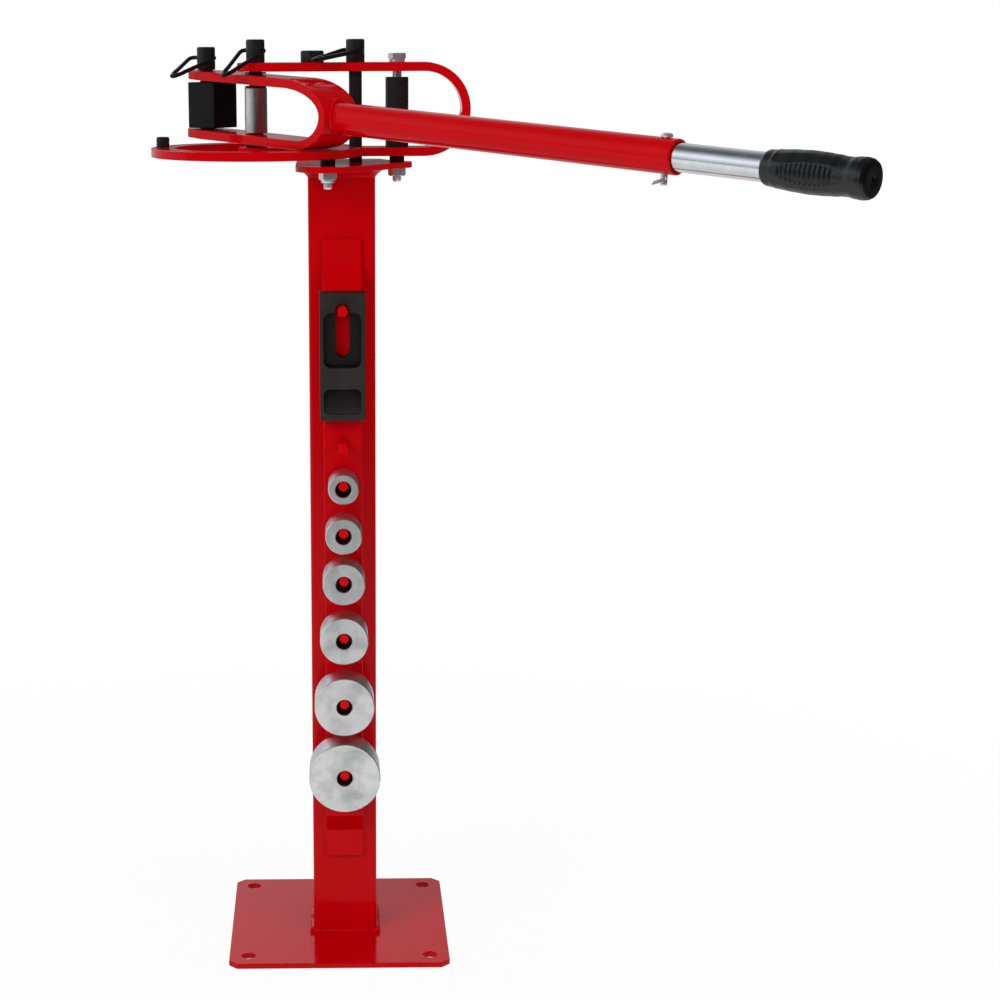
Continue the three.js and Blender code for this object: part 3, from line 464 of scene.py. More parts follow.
def piece(name, bm, material, body, *nodes, edge=0.5, smooth=35):
    """Finishes a mesh that lies at its place: eased edges, smooth shading, material, body and the nodes that it
    stands for."""
    bmesh.ops.scale(bm, verts=bm.verts, vec=(MM, MM, MM))
    mesh = as_mesh(name, bm)
    mesh.materials.append(material)
    mesh.shade_smooth()
    mesh.set_sharp_from_angle(angle=math.radians(smooth))
    made = placed(name, mesh)
    if edge:
        bevel = made.modifiers.new("eased edges", "BEVEL")
        bevel.width, bevel.segments, bevel.use_clamp_overlap = edge * MM, 2, False
        bevel.limit_method, bevel.angle_limit, bevel.harden_normals = "ANGLE", math.radians(smooth), True
    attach(made, body)
    if nodes:
        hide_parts(*nodes)
    return made


def wire(points, radius, cyclic=False, sides=16, resolution=8):
    """A round wire along a smooth curve through points."""
    curve = bpy.data.curves.new("wire", "CURVE")
    curve.dimensions, curve.bevel_depth, curve.use_fill_caps = "3D", radius, True
    curve.bevel_resolution, curve.resolution_u = sides // 4, resolution
    spline = curve.splines.new("BEZIER")
    spline.bezier_points.add(len(points) - 1)
    spline.use_cyclic_u = cyclic
    for knot, place in zip(spline.bezier_points, points):
        knot.co, knot.handle_left_type, knot.handle_right_type = place, "AUTO", "AUTO"
    holder = placed("wire", curve)
    bpy.context.view_layer.update()
    bm = bmesh.new()
    bm.from_mesh(holder.evaluated_get(bpy.context.evaluated_depsgraph_get()).to_mesh())
    bpy.data.objects.remove(holder)
    return cleaned(bm)


def weld(points, radius, cyclic=False, ripple=0.3):
    """A weld bead: a wire whose surface swells and dips as the puddles froze, a few millimetres apart."""
    bm = wire(points, radius, cyclic, sides=12, resolution=24)
    pitch = 3.0
    for vert in bm.verts:
        swell = noise.noise(vert.co / pitch) + 0.5 * noise.noise(vert.co * 2.3 / pitch)
        vert.co += vert.normal * swell * ripple * radius
    return bm


def square_path(half, height, corner):
    """Points round a square with rounded corners, at a height."""
    return [Vector((x, y, height)) for x, y in rounded(half * 2, half * 2, corner, 5)]


def square_collar(profile):
    """A ring of rounded square section from points of half width and height, closed on itself."""
    bm = bmesh.new()
    rings = [[bm.verts.new(p) for p in square_path(half, height, POST_CORNER + half - POST_HALF + 0.1)]
             for half, height in profile]
    for i, ring in enumerate(rings):
        below = rings[i - 1]
        for j in range(len(ring)):
            bm.faces.new((below[j - 1], below[j], ring[j], ring[j - 1]))
    return cleaned(bm)


def floor_plate():
    half, cut_back = BASE_HALF, BASE_HALF - BASE_CORNER_CUT
    outline = [(-cut_back, -half), (cut_back, -half), (half, -cut_back), (half, cut_back), (cut_back, half),
               (-cut_back, half), (-half, cut_back), (-half, -cut_back)]
    holes = [circle(x * ANCHOR_PLACE, y * ANCHOR_PLACE, ANCHOR_RADIUS) for x in (-1, 1) for y in (-1, 1)]
    slab = moved(plate([outline, *holes], 0, BASE_THICKNESS), -BASE_SHIFT)
    piece("floor_plate", slab, RED, "stand", "base_plate", edge=0.7)
    bead = weld(square_path(POST_HALF + 1, BASE_THICKNESS + 0.8, POST_CORNER + 1), 2.7, cyclic=True)
    piece("foot_weld", bead, RED, "stand", "base_plate", edge=0)
    clear = 1.5  # how far each lump's middle lies off the post's face and off the plate
    for x, side in ((-1, "left"), (1, "right")):
        line = [Vector((x * (POST_HALF + past), -POST_HALF - clear, BASE_THICKNESS + clear)) for past in (-7, -1, 4)]
        piece(f"foot_weld_lump_{side}", weld(line, 3.4, ripple=0.5), RED, "stand", "base_plate", edge=0)


def square_post():
    bm = box(POST_HALF * 2, POST_HALF * 2, BASE_THICKNESS, POST_TOP)
    upright = [e for e in bm.edges if abs(e.verts[0].co.z - e.verts[1].co.z) > 1]
    bmesh.ops.bevel(bm, geom=upright, offset=POST_CORNER, segments=8, affect="EDGES", profile=0.5, material=-1)
    piece("square_post", bm, RED, "stand", "post", edge=0)


def top_plate():
    left, back = 47, 42
    dx, dy = RIGHT_BOLT_X - FRONT_BOLT.x, PIVOT.y - FRONT_BOLT.y
    front_radius, right_radius = left + FRONT_BOLT.x, 15.7
    tangent = math.degrees(math.atan2(dy, dx) - math.acos((front_radius - right_radius) / math.hypot(dx, dy)))
    outline = [(-left, back), *arc(FRONT_BOLT.x, FRONT_BOLT.y, front_radius, 180, 360 + tangent, 48),
               *arc(RIGHT_BOLT_X, PIVOT.y, right_radius, tangent, 90, 32), (back, back)]
    holes = [circle(FRONT_BOLT.x, FRONT_BOLT.y, BOLT_HOLE), circle(RIGHT_BOLT_X, PIVOT.y, BOLT_HOLE),
             circle(SUPPORT_PIN_X, PIVOT.y, PIN_HOLE)]
    piece("top_plate", plate([outline, *holes], POST_TOP, PLATE_TOP), RED, "stand", "mount_plate", edge=0.6)
    out, down = 11.5, 9
    flare = [(POST_HALF + 0.1 + out * (1 - t) ** 1.35, POST_TOP - down * t ** 1.15)
             for t in (i / 10 for i in range(11))]
    collar = square_collar([*flare, (POST_HALF - 1, POST_TOP - down), (POST_HALF - 1, POST_TOP)])
    piece("neck_flare", collar, RED, "stand", "mount_plate", edge=0, smooth=50)


def bent_bar(nose, half, reach, low_bend, high_bend, thickness, low, high, lower_holes, upper_holes):
    """A flat bar bent into a lying U that opens to the left, with a nose on each leg and holes through them. The
    lower and the upper half of the bend each have their own length along the bar."""
    middle, radius = (low + high) / 2, (high - low) / 2

    def leg(bottom, end, holes):
        outline = [*nose, (end, -half), (end, half)]
        bm = plate([outline, *(circle(x, 0, size) for x, size in holes)], bottom, bottom + thickness)
        rim = [f for f in bm.faces if all(abs(v.co.x - end) < NEAR for v in f.verts)]
        bmesh.ops.delete(bm, geom=rim, context="FACES")
        return bm

    start = reach - low_bend
    bm = leg(low, start, lower_holes)
    rim = [e for e in bm.edges if e.is_boundary]
    geom = list({v for e in rim for v in e.verts}) + rim
    bmesh.ops.spin(bm, geom=geom, cent=(start, 0, middle), axis=(0, -1, 0), angle=math.pi, steps=56)
    for vert in bm.verts:
        along, up = vert.co.x - start, vert.co.z - middle
        if along > 0 or up > 0:
            bend, out = high_bend if up > 0 else low_bend, math.hypot(along, up)
            vert.co.x = reach - bend + along * (bend + out - radius) / out
    return cleaned(joined(bm, leg(high - thickness, reach - high_bend, upper_holes)))


def bending_frame():
    half = BAR_WIDTH / 2
    bolt_holes = [(0, PIN_HOLE), (SUPPORT_PIN_X - PIVOT.x, PIN_HOLE), (RIGHT_BOLT_X - PIVOT.x, BOLT_HOLE)]
    plug_hole = (STRAP_PLUG_X - PIVOT.x, PIN_HOLE)
    bend = (FRAME_HIGH - FRAME_LOW) / 2
    bar = bent_bar(arc(0, 0, half, 90, 270, 40), half, FRAME_BEND_X - PIVOT.x + bend, bend, bend, BAR_THICKNESS,
                   FRAME_LOW, FRAME_HIGH, bolt_holes, [*bolt_holes, plug_hole])
    piece("u_frame", moved(bar, *PIVOT), RED, "stand", "bending_frame", edge=0.9)


def degree_ring():
    half = BAR_WIDTH / 2 + RING_GAP
    outer, inner = (math.degrees(math.asin(half / radius)) for radius in (RING_OUTER, RING_INNER))
    outline = arc(0, 0, RING_OUTER, outer, 360 - outer, 120) + arc(0, 0, RING_INNER, 360 - inner, inner, 100)
    bolt = FRONT_BOLT - PIVOT
    stop_hole, sunk_hole = 7.05, 9.9
    holes = [circle(-RING_MIDDLE, 0, stop_hole), circle(bolt.x, bolt.y, sunk_hole)]
    ring = plate([outline, *holes], FRAME_LOW, LEG_TOP)
    piece("ring_plate", moved(ring, *PIVOT), RED, "stand", "degree_ring", edge=0.9)
    for y, side in ((-1, "front"), (1, "back")):
        place = PIVOT.y + y * (BAR_WIDTH / 2 + 0.4)
        # The bead lies low, so that the fork's bend swings over it
        line = [Vector((PIVOT.x + x, place, LEG_TOP - 1.7)) for x in (84, 92, 100, 107)]
        piece(f"ring_weld_{side}", weld(line, 2.0, ripple=0.2), RED, "stand", edge=0)


def hexagon(low, high, bore=0.0):
    """A hexagon with both ends chamfered to a circle, as nuts and bolt heads are."""
    # The prism runs past both ends, because faces that lie in one plane can make the cut fail
    prism = plate([circle(0, 0, HEX_CORNER, 6)], low - 1, high + 1)
    drop = 1.1
    shape = [(0, low), (HEX_CORNER - 1.3, low), (HEX_CORNER + 0.4, low + drop), (HEX_CORNER + 0.4, high - drop),
             (HEX_CORNER - 1.3, high), (0, high)]
    blank = cut(prism, turned(shape, 64), "INTERSECT")
    return cut(blank, solid_round(bore, low - 2, high + 2, ease=0)) if bore else blank


def threaded_end(radius, low, high):
    """The end of a bolt whose thread shows as close ridges, with its first turns chamfered."""
    pitch = 1.5
    depth = 0.45 * pitch
    count = max(int((high - low - 1.5) / pitch), 1)
    profile = [(0, low), (radius - 1.2, low), (radius - depth, low + 1.2)]
    for i in range(count):
        base = low + 1.5 + i * pitch
        profile += [(radius, base + pitch * 0.4), (radius, base + pitch * 0.55), (radius - depth, base + pitch * 0.95)]
    return turned([*profile, (radius - depth, high), (0, high)], 48)


def bolts():
    y = PIVOT.y
    head_low = FRAME_HIGH + LOCK_WASHER_HEIGHT
    shank = solid_round(BOLT_RADIUS, POST_TOP - 1, head_low + 1, ease=0)
    tip = POST_TOP - NUT_HEIGHT - BOLT_TAIL
    bolt = joined(hexagon(head_low, head_low + HEAD_HEIGHT), shank, threaded_end(BOLT_RADIUS, tip, POST_TOP))
    piece("long_bolt", moved(bolt, RIGHT_BOLT_X, y), ZINC_BOLT, "stand", "right_bolt", edge=0.2)
    washer = hollow_round(LOCK_WASHER_RADIUS, BOLT_HOLE, 0, LOCK_WASHER_HEIGHT)
    split = rotated(moved(box(12, 1.1, -3, LOCK_WASHER_HEIGHT + 3), 8), 18, "X")
    washer = moved(cut(washer, split), RIGHT_BOLT_X, y, FRAME_HIGH)
    piece("split_washer", washer, ZINC_BOLT, "stand", "lock_washer", edge=0.2)
    cone = 4.75  # the sunk head's height, and how far it stands out from the shank
    sunk = BOLT_RADIUS + cone
    flush = turned([(0, POST_TOP), (BOLT_RADIUS, POST_TOP), (BOLT_RADIUS, LEG_TOP - cone), (sunk - 0.3, LEG_TOP - 0.2),
                    (sunk - 0.5, LEG_TOP), (3.4, LEG_TOP), (2.9, LEG_TOP - 3), (0, LEG_TOP - 3)])
    sunk_bolt = joined(flush, threaded_end(BOLT_RADIUS, tip - COLLAR_HEIGHT, POST_TOP))
    piece("sunk_bolt", moved(sunk_bolt, FRONT_BOLT.x, FRONT_BOLT.y), ZINC_BOLT, "stand", "front_bolt", edge=0.2)
    low, bore = POST_TOP - NUT_HEIGHT, BOLT_RADIUS + 0.3
    plain = hexagon(low, POST_TOP, bore)
    piece("right_hex_nut", moved(plain, RIGHT_BOLT_X, y), ZINC_BOLT, "stand", "right_nut", edge=0.25)
    collar = turned([(bore, low + 0.5), (6.9, low + 0.5), (6.9, low - 1.6), (6.4, low - 2.8), (5.4, low - 3.4),
                     (bore, low - COLLAR_HEIGHT), (bore, low + 0.5)])
    locking = joined(hexagon(low, POST_TOP, bore), collar)
    piece("front_lock_nut", moved(locking, FRONT_BOLT.x, FRONT_BOLT.y), ZINC_BOLT, "stand", "front_nut", edge=0.25)


def spacers():
    places = [
        ("front_collar", "front_spacer", FRONT_BOLT.x, FRONT_BOLT.y, SPACER_RADIUS, PLATE_TOP, FRAME_LOW),
        ("right_collar", "right_spacer", RIGHT_BOLT_X, PIVOT.y, SPACER_RADIUS, PLATE_TOP, FRAME_LOW),
        ("tall_tube", "tall_spacer", RIGHT_BOLT_X, PIVOT.y, TALL_SPACER_RADIUS, LEG_TOP, LEG_TOP + TALL_SPACER_HEIGHT),
    ]
    for name, node, x, y, radius, low, high in places:
        piece(name, moved(hollow_round(radius, BOLT_HOLE, low, high, ease=0.6), x, y), BLACK, "stand", node, edge=0)


def headed_pin(length, bail_angle):
    """A pin with a tall head, its underside at height 0, and a cross hole for the wire loop."""
    head = PIN_HEAD_HEIGHT
    profile = [(0, -length), (PIN_RADIUS - 2, -length), (PIN_RADIUS, 2 - length), (PIN_RADIUS, 0),
               (PIN_HEAD_RADIUS - 0.4, 0), (PIN_HEAD_RADIUS, 0.4), (PIN_HEAD_RADIUS, head - 1.6),
               (PIN_HEAD_RADIUS - 0.5, head - 0.5), (PIN_HEAD_RADIUS - 1.6, head), (0, head)]
    hole = rotated(rotated(solid_round(BAIL_WIRE + 0.35, -15, 15, ease=0, sides=24), 90, "Y"), bail_angle, "Z")
    return cut(turned(profile), moved(hole, z=head - BAIL_DROP_IN_HEAD))


def bail(bail_angle, drop, far_side):
    """A loop bent by hand: its shoulder stands out further on the far side of the pin than on the near one."""
    near = [Vector((BAIL_NEAR_SIDE * across, -BAIL_LENGTH * out, 0)) for across, out in BAIL_NEAR_SHARES]
    far = [Vector((-far_side * across, -BAIL_LENGTH * out, 0)) for across, out in reversed(BAIL_FAR_SHARES)]
    bm = wire([*near, Vector((0, -BAIL_LENGTH, 0)), *far], BAIL_WIRE)
    return moved(rotated(rotated(bm, drop, "X"), bail_angle, "Z"), z=PIN_HEAD_HEIGHT - BAIL_DROP_IN_HEAD)


def pin_with_bail(name, node, place, length, angle, drop, far_side):
    piece(name, moved(headed_pin(length, angle), *place), BLACK, node, node, edge=0.25)
    loop = moved(bail(angle, drop, far_side), *place)
    piece(f"{name}_loop", loop, BLACK_WIRE, f"{node}_bail", f"{node}_bail", edge=0)


def arm_place(distance, height=0.0):
    """A point of the arm, given along it, in the part's frame."""
    turn = Matrix.Rotation(math.radians(ARM_ANGLE), 3, "Z")
    return turn @ Vector((distance, 0, 0)) + PIVOT + Vector((0, 0, height))


def on_arm(bm, droop):
    """Hangs a mesh down by a few degrees, turns it with the arm and puts it on the pivot."""
    rotated(rotated(bm, droop, "Y"), ARM_ANGLE, "Z")
    return moved(bm, PIVOT.x, PIVOT.y, FORK_AXIS)


def pins():
    strap = Vector((0, 0, FRAME_HIGH))
    pin_with_bail("main_pivot_pin", "pivot_pin", PIVOT + strap, length=94, angle=-36, drop=25, far_side=16.5)
    pin_with_bail("rest_pin", "support_pin", Vector((SUPPORT_PIN_X, PIVOT.y, 0)) + strap, length=106.5, angle=-48,
                  drop=9.8, far_side=16.5)
    low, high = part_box("block_pin")
    seat = high.z / MM - PIN_HEAD_HEIGHT
    pin_with_bail("follower_pin", "block_pin", arm_place(-BLOCK_PIN_REACH, seat), length=seat - low.z / MM, angle=-36,
                  drop=18.5, far_side=19.5)
    stop = solid_round(PIN_RADIUS, LEG_TOP - 8, LEG_TOP + 11, ease=1.2)
    piece("swing_stop", moved(stop, PIVOT.x - RING_MIDDLE, PIVOT.y), BLACK, "stop_pin", "stop_pin", edge=0.2)
    plug = turned([(0, -8), (PIN_RADIUS, -8), (PIN_RADIUS, 0), (11.6, 0), (12, 0.4), (12, 10.4), (11.4, 11.6),
                   (10.4, 12), (0, 12)])
    piece("strap_stud", moved(plug, STRAP_PLUG_X, PIVOT.y, FRAME_HIGH), BLACK, "strap_plug", "strap_plug", edge=0.2)


def washers():
    for name, node, body in (("under_washer", "lower_washer", "stand"), ("over_washer", "upper_washer", "arm"),
                             ("thin_washer", "die_washer", "pivot_die")):
        low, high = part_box(node)
        ring = hollow_round(WASHER_RADIUS, PIN_HOLE, low.z / MM, high.z / MM)
        piece(name, moved(ring, PIVOT.x, PIVOT.y), BLACK, body, node, edge=0)


def pivot_die():
    low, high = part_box("pivot_die")
    sleeve = hollow_round(PIVOT_DIE_RADIUS, PIN_HOLE, low.z / MM, high.z / MM, ease=0.7, sides=96)
    piece("small_die", moved(sleeve, PIVOT.x, PIVOT.y), STEEL, "pivot_die", "pivot_die", edge=0)


def press_block():
    low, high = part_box("press_block")
    bar = moved(box(BLOCK_SIZE, BLOCK_SIZE, low.z / MM, high.z / MM), BLOCK_BORE_OFFSET)
    bar = cut(bar, solid_round(PIN_HOLE, low.z / MM - 5, high.z / MM + 5, ease=0))
    rotated(bar, BLOCK_ANGLE, "Z")
    piece("follower_block", moved(bar, *arm_place(-BLOCK_PIN_REACH)), BLACK_BAR, "press_block", "press_block", edge=0.9)


def fork():
    half, to_centre = FORK_WIDTH / 2, math.hypot(FORK_NOSE_TAPER, FORK_WIDTH / 2)
    start = 90 - math.degrees(math.atan2(FORK_NOSE_TAPER, half) - math.acos(FORK_NOSE / to_centre))
    shoulder = FORK_NOSE_TAPER - BLOCK_PIN_REACH
    nose = [(shoulder, half), *arc(-BLOCK_PIN_REACH, 0, FORK_NOSE, start, 360 - start, 40), (shoulder, -half)]
    # Each leg's holes are set off along it, so that they come to stand round the upright pins once the fork hangs down
    lean = (FORK_HALF - FORK_THICKNESS / 2) * math.tan(math.radians(FORK_DROOP))
    lower, upper = ([(x + shift, PIN_HOLE + 0.3) for x in (0, -BLOCK_PIN_REACH)] for shift in (lean, -lean))
    bar = bent_bar(nose, half, FORK_REACH, FORK_LOW_BEND, FORK_HIGH_BEND, FORK_THICKNESS, -FORK_HALF, FORK_HALF,
                   lower, upper)
    piece("swing_fork", on_arm(bar, FORK_DROOP), RED, "arm", "fork", edge=0.9)


def bend_reach(height):
    """How far from the pivot the outside of the fork's bend lies at a height over its middle."""
    bend = FORK_HIGH_BEND if height > 0 else FORK_LOW_BEND
    return FORK_REACH - bend + bend * math.sqrt(1 - (height / FORK_HALF) ** 2)


def handle_tube():
    start = bend_reach(HANDLE_RADIUS) - 2
    wall = HANDLE_RADIUS - HANDLE_WALL
    tube = turned([(wall, start), (HANDLE_RADIUS, start), (HANDLE_RADIUS, HANDLE_END - 0.9),
                   (HANDLE_RADIUS - 0.9, HANDLE_END), (wall + 0.5, HANDLE_END), (wall, HANDLE_END - 0.5),
                   (wall, start)], 128)
    piece("handle_tube", on_arm(rotated(tube, 90, "Y"), HANDLE_DROOP), RED, "arm", "handle_pipe", edge=0)
    turns = [math.radians(15 * i) for i in range(24)]
    clear = 0.6  # how far the bead's middle lies off the fork and off the tube
    path = [Vector((bend_reach(HANDLE_RADIUS * math.sin(t)) + clear, (HANDLE_RADIUS + clear) * math.cos(t),
                    (HANDLE_RADIUS + clear) * math.sin(t))) for t in turns]
    bead = weld(path, 1.9, cyclic=True, ripple=0.15)
    piece("handle_weld", on_arm(bead, FORK_DROOP), RED, "arm", "handle_pipe", edge=0)


def inner_tube():
    start, end = HANDLE_END - 150, GRIP_START + GRIP_LENGTH - 10
    tube = hollow_round(EXTENSION_RADIUS, EXTENSION_RADIUS - EXTENSION_WALL, start, end, sides=128)
    piece("inner_tube", on_arm(rotated(tube, 90, "Y"), HANDLE_DROOP), ZINC, "arm", "handle_extension", edge=0)


def clevis():
    head = HANDLE_RADIUS + 0.3
    pin = turned([(0, -head - 9.5), (2.3, -head - 9.5), (3.1, -head - 8.5), (3.1, head), (5.0, head), (5.2, head + 0.3),
                  (5.2, head + 2.2), (4.4, head + 3.2), (3, head + 3.6), (0, head + 3.6)], 48)
    turn = 135  # the split pin's eye lies behind the cross pin, and its legs in front, bent to the left
    low = -head - 4
    hole = moved(rotated(rotated(solid_round(2.1, -10, 10, ease=0, sides=20), 90, "Y"), turn, "Z"), z=low)
    crossing = moved(cut(pin, hole), CLEVIS_REACH)
    piece("cross_pin", on_arm(crossing, HANDLE_DROOP), ZINC_BOLT, "arm", "clevis_pin", edge=0.2)
    points = [Vector(p) for p in (
        (-7.5, 10.5, -2.4), (-6.9, 5, -0.6), (-5.2, 1, 0.8), (-3.1, 0, 0.98), (3.1, 0, 0.98), (5.1, 0, 1.2),
        (7.5, 0, 3), (11.1, 0, 0), (7.5, 0, -3), (5.1, 0, -1.2), (3.1, 0, -0.98), (-3.1, 0, -0.98),
        (-5.2, 1.2, -1.2), (-6.6, 5.5, -2.3), (-7.2, 11.5, -4.2))]
    split = moved(rotated(wire(points, 0.9, sides=12), turn, "Z"), CLEVIS_REACH, 0, low)
    piece("split_pin", on_arm(split, HANDLE_DROOP), ZINC_BOLT, "arm", "cotter_pin", edge=0)


def eased_share(share):
    """A share of 0 to 1 that leaves and arrives gently."""
    share = min(max(share, 0), 1)
    return share * share * (3 - 2 * share)


GRIP_SHARES = [
    (0, 0.8), (0.02, 0.845), (0.075, 0.86), (0.12, 0.905), (0.29, 0.97), (0.42, 1), (0.54, 0.985), (0.66, 0.945),
    (0.75, 0.9), (0.8, 0.895), (0.87, 0.95), (0.925, 0.965), (0.965, 0.935), (0.988, 0.87), (1, 0.76),
]


def grip_radius(share):
    for (x0, r0), (x1, r1) in zip(GRIP_SHARES, GRIP_SHARES[1:]):
        if share <= x1:
            return GRIP_RADIUS * (r0 + (r1 - r0) * eased_share((share - x0) / (x1 - x0)))
    return GRIP_RADIUS * GRIP_SHARES[-1][1]


def handle_grip():
    """The grip is turned first. Each side then gets an almond-shaped hollow with finger ribs in it."""
    stations = 190
    outside = [(grip_radius(i / stations), GRIP_LENGTH * i / stations) for i in range(stations + 1)]
    bore = EXTENSION_RADIUS + 0.3
    floor = GRIP_LENGTH - 9
    vent = 2.2
    bm = turned([(bore, 0), *outside, (vent + 0.4, GRIP_LENGTH), (vent, GRIP_LENGTH - 0.5), (vent, floor),
                 (bore, floor), (bore, 0)], 144)
    # Starts, ends and the shoulder's middle are shares of the grip's length, and the rest are millimetres
    rib_start, rib_end, pitch = 0.17, 0.72, 4.6
    hollow_start, hollow_share, hollow_half = 0.12, 0.72, 10.5
    shoulder_middle, shoulder_half, shoulder_cut = 0.38, 0.28, 1.1
    for vert in bm.verts:
        along = vert.co.z / GRIP_LENGTH
        radius = math.hypot(vert.co.x, vert.co.y)
        if radius < grip_radius(along) - 0.2 or not 0 < along < 1:
            continue
        height = abs(vert.co.x)
        reach = hollow_half * math.sin(math.pi * min(max((along - hollow_start) / hollow_share, 0), 1)) ** 0.6
        inside = eased_share((reach - height) / 2.2)
        ribbed = eased_share((along - rib_start) * 40) * eased_share((rib_end - along) * 30)
        groove = 0.5 - 0.5 * math.cos(2 * math.pi * (vert.co.z - rib_start * GRIP_LENGTH) / pitch)
        depth = inside * (0.7 + 1.15 * ribbed * groove**0.7)
        # A long flat along each shoulder, above the ribs, that thins out to its ends
        lens = max(0, 1 - ((along - shoulder_middle) / shoulder_half) ** 2)
        tilt = math.atan2(-vert.co.x, abs(vert.co.y)) - math.radians(38)
        if abs(tilt) < 1:
            depth = max(depth, radius - (radius - shoulder_cut * lens) / math.cos(tilt))
        vert.co.x *= 1 - depth / radius
        vert.co.y *= 1 - depth / radius
    on_arm(moved(rotated(bm, 90, "Y"), GRIP_START), HANDLE_DROOP)
    piece("rubber_grip", bm, RUBBER, "arm", "grip", edge=0, smooth=60)


def rack_bar():
    """A flat bar with a joggle of 45 degrees at each end, where its feet are welded to the post."""
    half, thick, off = RACK_HALF_WIDTH, RACK_THICKNESS, RACK_STANDOFF
    low, high = RACK_LOW_BEND + off, RACK_HIGH_BEND - off
    side = [(0, RACK_HIGH), (0, RACK_HIGH_BEND), (off, high), (off, low), (0, RACK_LOW_BEND), (0, RACK_LOW)]
    slant = thick * math.tan(math.radians(22.5))
    front = [(thick, RACK_LOW), (thick, RACK_LOW_BEND - slant), (off + thick, low - slant),
             (off + thick, high + slant), (thick, RACK_HIGH_BEND + slant), (thick, RACK_HIGH)]
    bm = plate([side + front], -half, half)
    matrix = Matrix(((0, 0, 1), (-1, 0, 0), (0, 1, 0)))
    bmesh.ops.transform(bm, matrix=matrix.to_4x4(), verts=bm.verts)
    piece("rack_bar", moved(cleaned(bm), 0, -POST_HALF), RED, "stand", "rack_strip", edge=0.7)


def pegs():
    for i in range(1, 9):
        low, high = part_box(f"rack_peg_{i}")
        height = (low.z + high.z) / 2 / MM
        peg = rotated(solid_round(PEG_RADIUS, 0, PEG_LENGTH, ease=0.8, sides=48), 90, "X")
        piece(f"peg_{i}", moved(peg, 0, RACK_FACE, height), RED, "stand", f"rack_peg_{i}", edge=0)


def turned_dies():
    for i, diameter in enumerate(DIE_DIAMETERS, 1):
        low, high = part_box(f"die_{i}")
        die = hollow_round(diameter / 2, DIE_BORE, 0, DIE_LENGTH, ease=0.8, sides=128)
        place = (0, high.y / MM, (low.z + high.z) / 2 / MM)
        piece(f"turned_die_{i}", moved(rotated(die, 90, "X"), *place), STEEL, f"die_{i}", f"die_{i}", edge=0)


def curling_block():
    """A cast block with a long slot in a pocket, and a second pocket that grows shallow towards its foot."""
    width, height, thick, top = 47.5, 133.5, 16, 728
    slot_half, slot_high, slot_low = 7.4, -19.4, -60.1
    pocket_width, pocket_height, pocket_top, deep = 39, 57.5, 20.5, 6
    scoop_height, scoop_middle, scoop_rise = 26, -height + 20, 4.8
    slot = arc(0, slot_high, slot_half, 0, 180) + arc(0, slot_low, slot_half, 180, 360)
    body = moved(plate([rounded(width, height, 1.5, 4)], 0, thick), 0, -height / 2)
    body = cut(body, plate([slot], -2, thick + 2))
    pocket = plate([rounded(pocket_width, pocket_height, 8)], thick - deep, thick + 2)
    body = cut(body, moved(pocket, 0, -pocket_top - pocket_height / 2))
    scoop = moved(plate([rounded(pocket_width, scoop_height, 6)], thick - deep, thick + 8), 0, scoop_middle)
    scoop_top = scoop_middle + scoop_height / 2
    for vert in scoop.verts:
        if vert.co.z < thick:
            vert.co.z += scoop_rise * (scoop_top - vert.co.y) / scoop_height
    body = cut(body, scoop)
    rotated(body, 90, "X")
    piece("curling_block", moved(body, 0, RACK_FACE - 0.3, top), IRON, "slotted_block", "slotted_block", edge=0.8)


def build_camera():
    """The photograph's viewpoint, found from the plate, the post, the dies and the head together."""
    pitch, yaw, roll = 0.2231, 0.0087, -0.0046
    ahead = Vector((math.sin(yaw) * math.cos(pitch), math.cos(yaw) * math.cos(pitch), -math.sin(pitch)))
    right = Vector((math.cos(yaw), -math.sin(yaw), 0))
    up = right.cross(ahead)
    across = math.cos(roll) * right + math.sin(roll) * up
    upward = -math.sin(roll) * right + math.cos(roll) * up
    data = bpy.data.cameras.new("photo_camera")
    data.sensor_width, data.lens, data.shift_x, data.shift_y = 36, 77.44, 0.1511, 0.0239
    data.clip_end = 100
    camera = placed("photo_camera", data)
    eye = Vector((-13.5, -2285.9, 985.0)) * MM
    camera.matrix_world = Matrix.Translation(eye) @ Matrix((across, upward, -ahead)).transposed().to_4x4()
    scene.camera = camera


def lamp(name, place, size, watts):
    """A square soft box that faces the upper half of the post."""
    target = Vector((0, 0, 0.6))
    data = bpy.data.lights.new(name, "AREA")
    data.shape, data.size, data.energy = "SQUARE", size, watts
    made = placed(name, data)
    made.location, made.visible_glossy = place, False
    made.rotation_euler = (target - Vector(place)).to_track_quat("-Z", "Y").to_euler()


def build_floor():
    floor = bmesh.new()
    bmesh.ops.create_grid(floor, x_segments=1, y_segments=1, size=40)
    mesh = as_mesh("floor", floor)
    mesh.materials.append(studio_paper())
    ground = placed("floor", mesh)
    ground.location.z = -0.2 * MM


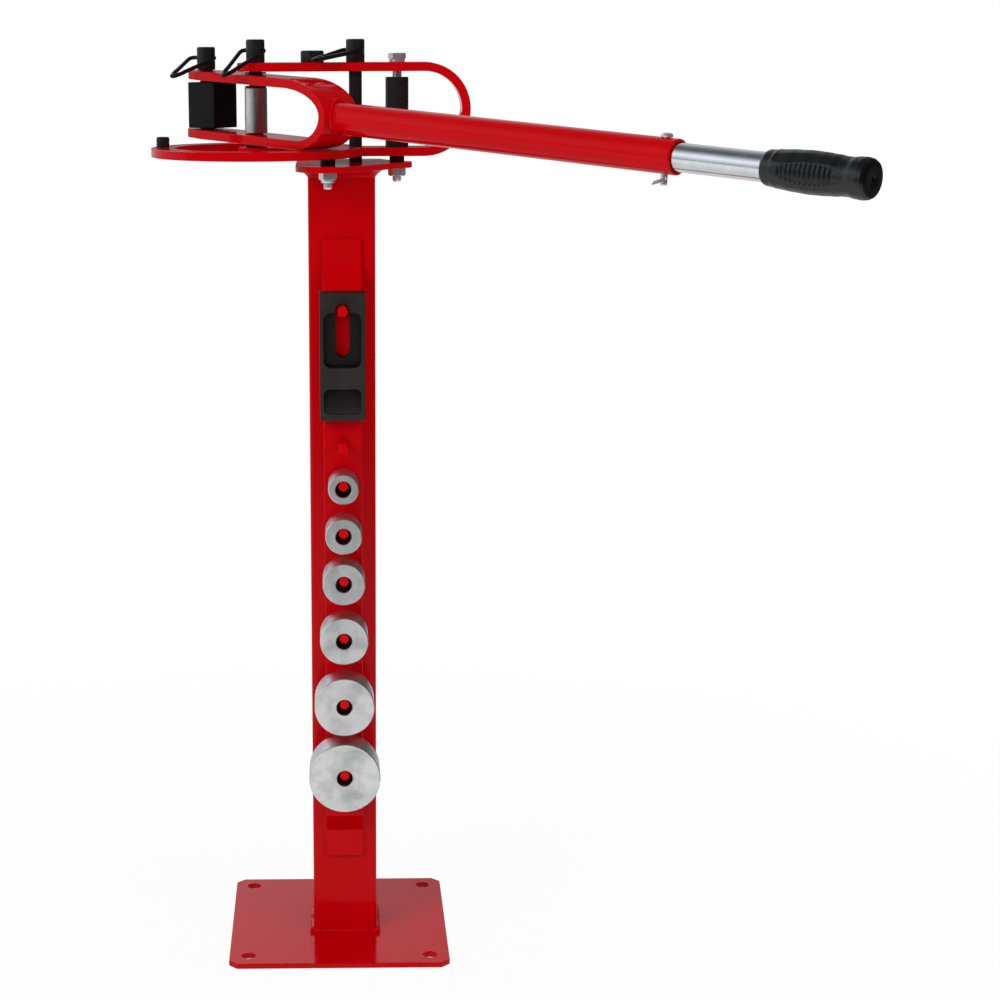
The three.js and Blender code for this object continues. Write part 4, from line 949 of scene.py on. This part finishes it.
def build_room():
    """The world: plain white for the camera, and a room with bright and dark walls for polished faces."""
    world = bpy.data.worlds.new("studio")
    scene.world = world
    world.use_nodes = True
    tree = world.node_tree
    tree.nodes.clear()
    path = add(tree, "ShaderNodeLightPath")
    place = add(tree, "ShaderNodeTexCoord").outputs["Generated"]
    sides = add(tree, "ShaderNodeSeparateXYZ", {0: place})
    # Polished faces see a room that is bright at the left and behind, and dark in front, overhead and to the right
    left = add(tree, "ShaderNodeMapRange", {"Value": sides.outputs["X"], "From Min": -0.25, "From Max": -0.75})
    glow = add(tree, "ShaderNodeMapRange", {"Value": sides.outputs["Z"], "From Min": 0.05, "From Max": 0.42,
                                            "To Min": 0.7, "To Max": 1.3})
    back = add(tree, "ShaderNodeMapRange", {"Value": sides.outputs["Y"], "From Min": 0.1, "From Max": 0.7})
    haze = add(tree, "ShaderNodeMapRange", {"Value": sides.outputs["Z"], "From Min": 0.05, "From Max": 0.3,
                                            "To Min": 0.12, "To Max": 1.5})
    shade = add(tree, "ShaderNodeMapRange", {"Value": sides.outputs["X"], "From Min": -0.1, "From Max": 0.3,
                                             "To Min": 1.0, "To Max": 0.12})
    dim = add(tree, "ShaderNodeMapRange", {"Value": sides.outputs["Z"], "From Min": 0.42, "From Max": 0.78,
                                           "To Min": 1.0, "To Max": 0.22})
    over = add(tree, "ShaderNodeMapRange", {"Value": sides.outputs["Z"], "From Min": 0.5, "From Max": 0.95,
                                            "To Min": 0.03, "To Max": 0.15})
    side_wall = add(tree, "ShaderNodeMath", {0: left.outputs[0], 1: glow.outputs[0]}, operation="MULTIPLY")
    back_wall = add(tree, "ShaderNodeMath", {0: back.outputs[0], 1: haze.outputs[0]}, operation="MULTIPLY")
    far_wall = add(tree, "ShaderNodeMath", {0: back_wall.outputs[0], 1: shade.outputs[0]}, operation="MULTIPLY")
    wall = add(tree, "ShaderNodeMath", {0: side_wall.outputs[0], 1: far_wall.outputs[0]}, operation="MAXIMUM")
    walls = add(tree, "ShaderNodeMath", {0: wall.outputs[0], 1: dim.outputs[0]}, operation="MULTIPLY")
    shine = add(tree, "ShaderNodeMath", {0: walls.outputs[0], 1: over.outputs[0]}, operation="MAXIMUM")
    reflected = add(tree, "ShaderNodeBackground", {"Color": linear("#f5f9ff"), "Strength": shine.outputs[0]})
    ambient = add(tree, "ShaderNodeBackground", {"Color": linear("#ffffff"), "Strength": 0.45})
    white = add(tree, "ShaderNodeBackground", {"Color": linear("#ffffff"), "Strength": 1.0})
    glossy = add(tree, "ShaderNodeMixShader", {0: path.outputs["Is Glossy Ray"], 1: ambient.outputs[0],
                                               2: reflected.outputs[0]})
    mixed = add(tree, "ShaderNodeMixShader", {0: path.outputs["Is Camera Ray"], 1: glossy.outputs[0],
                                              2: white.outputs[0]})
    add(tree, "ShaderNodeOutputWorld", {"Surface": mixed.outputs[0]})


build_camera()
build_floor()
build_room()
lamp("key", (-1.6, -2.0, 2.0), size=1.2, watts=29)
lamp("fill", (1.9, -1.7, 1.5), size=1.4, watts=13)
scene.view_settings.view_transform = "Standard"

floor_plate()
square_post()
top_plate()
bending_frame()
degree_ring()
bolts()
spacers()
pins()
washers()
pivot_die()
press_block()
fork()
handle_tube()
inner_tube()
clevis()
handle_grip()
rack_bar()
pegs()
turned_dies()
curling_block()
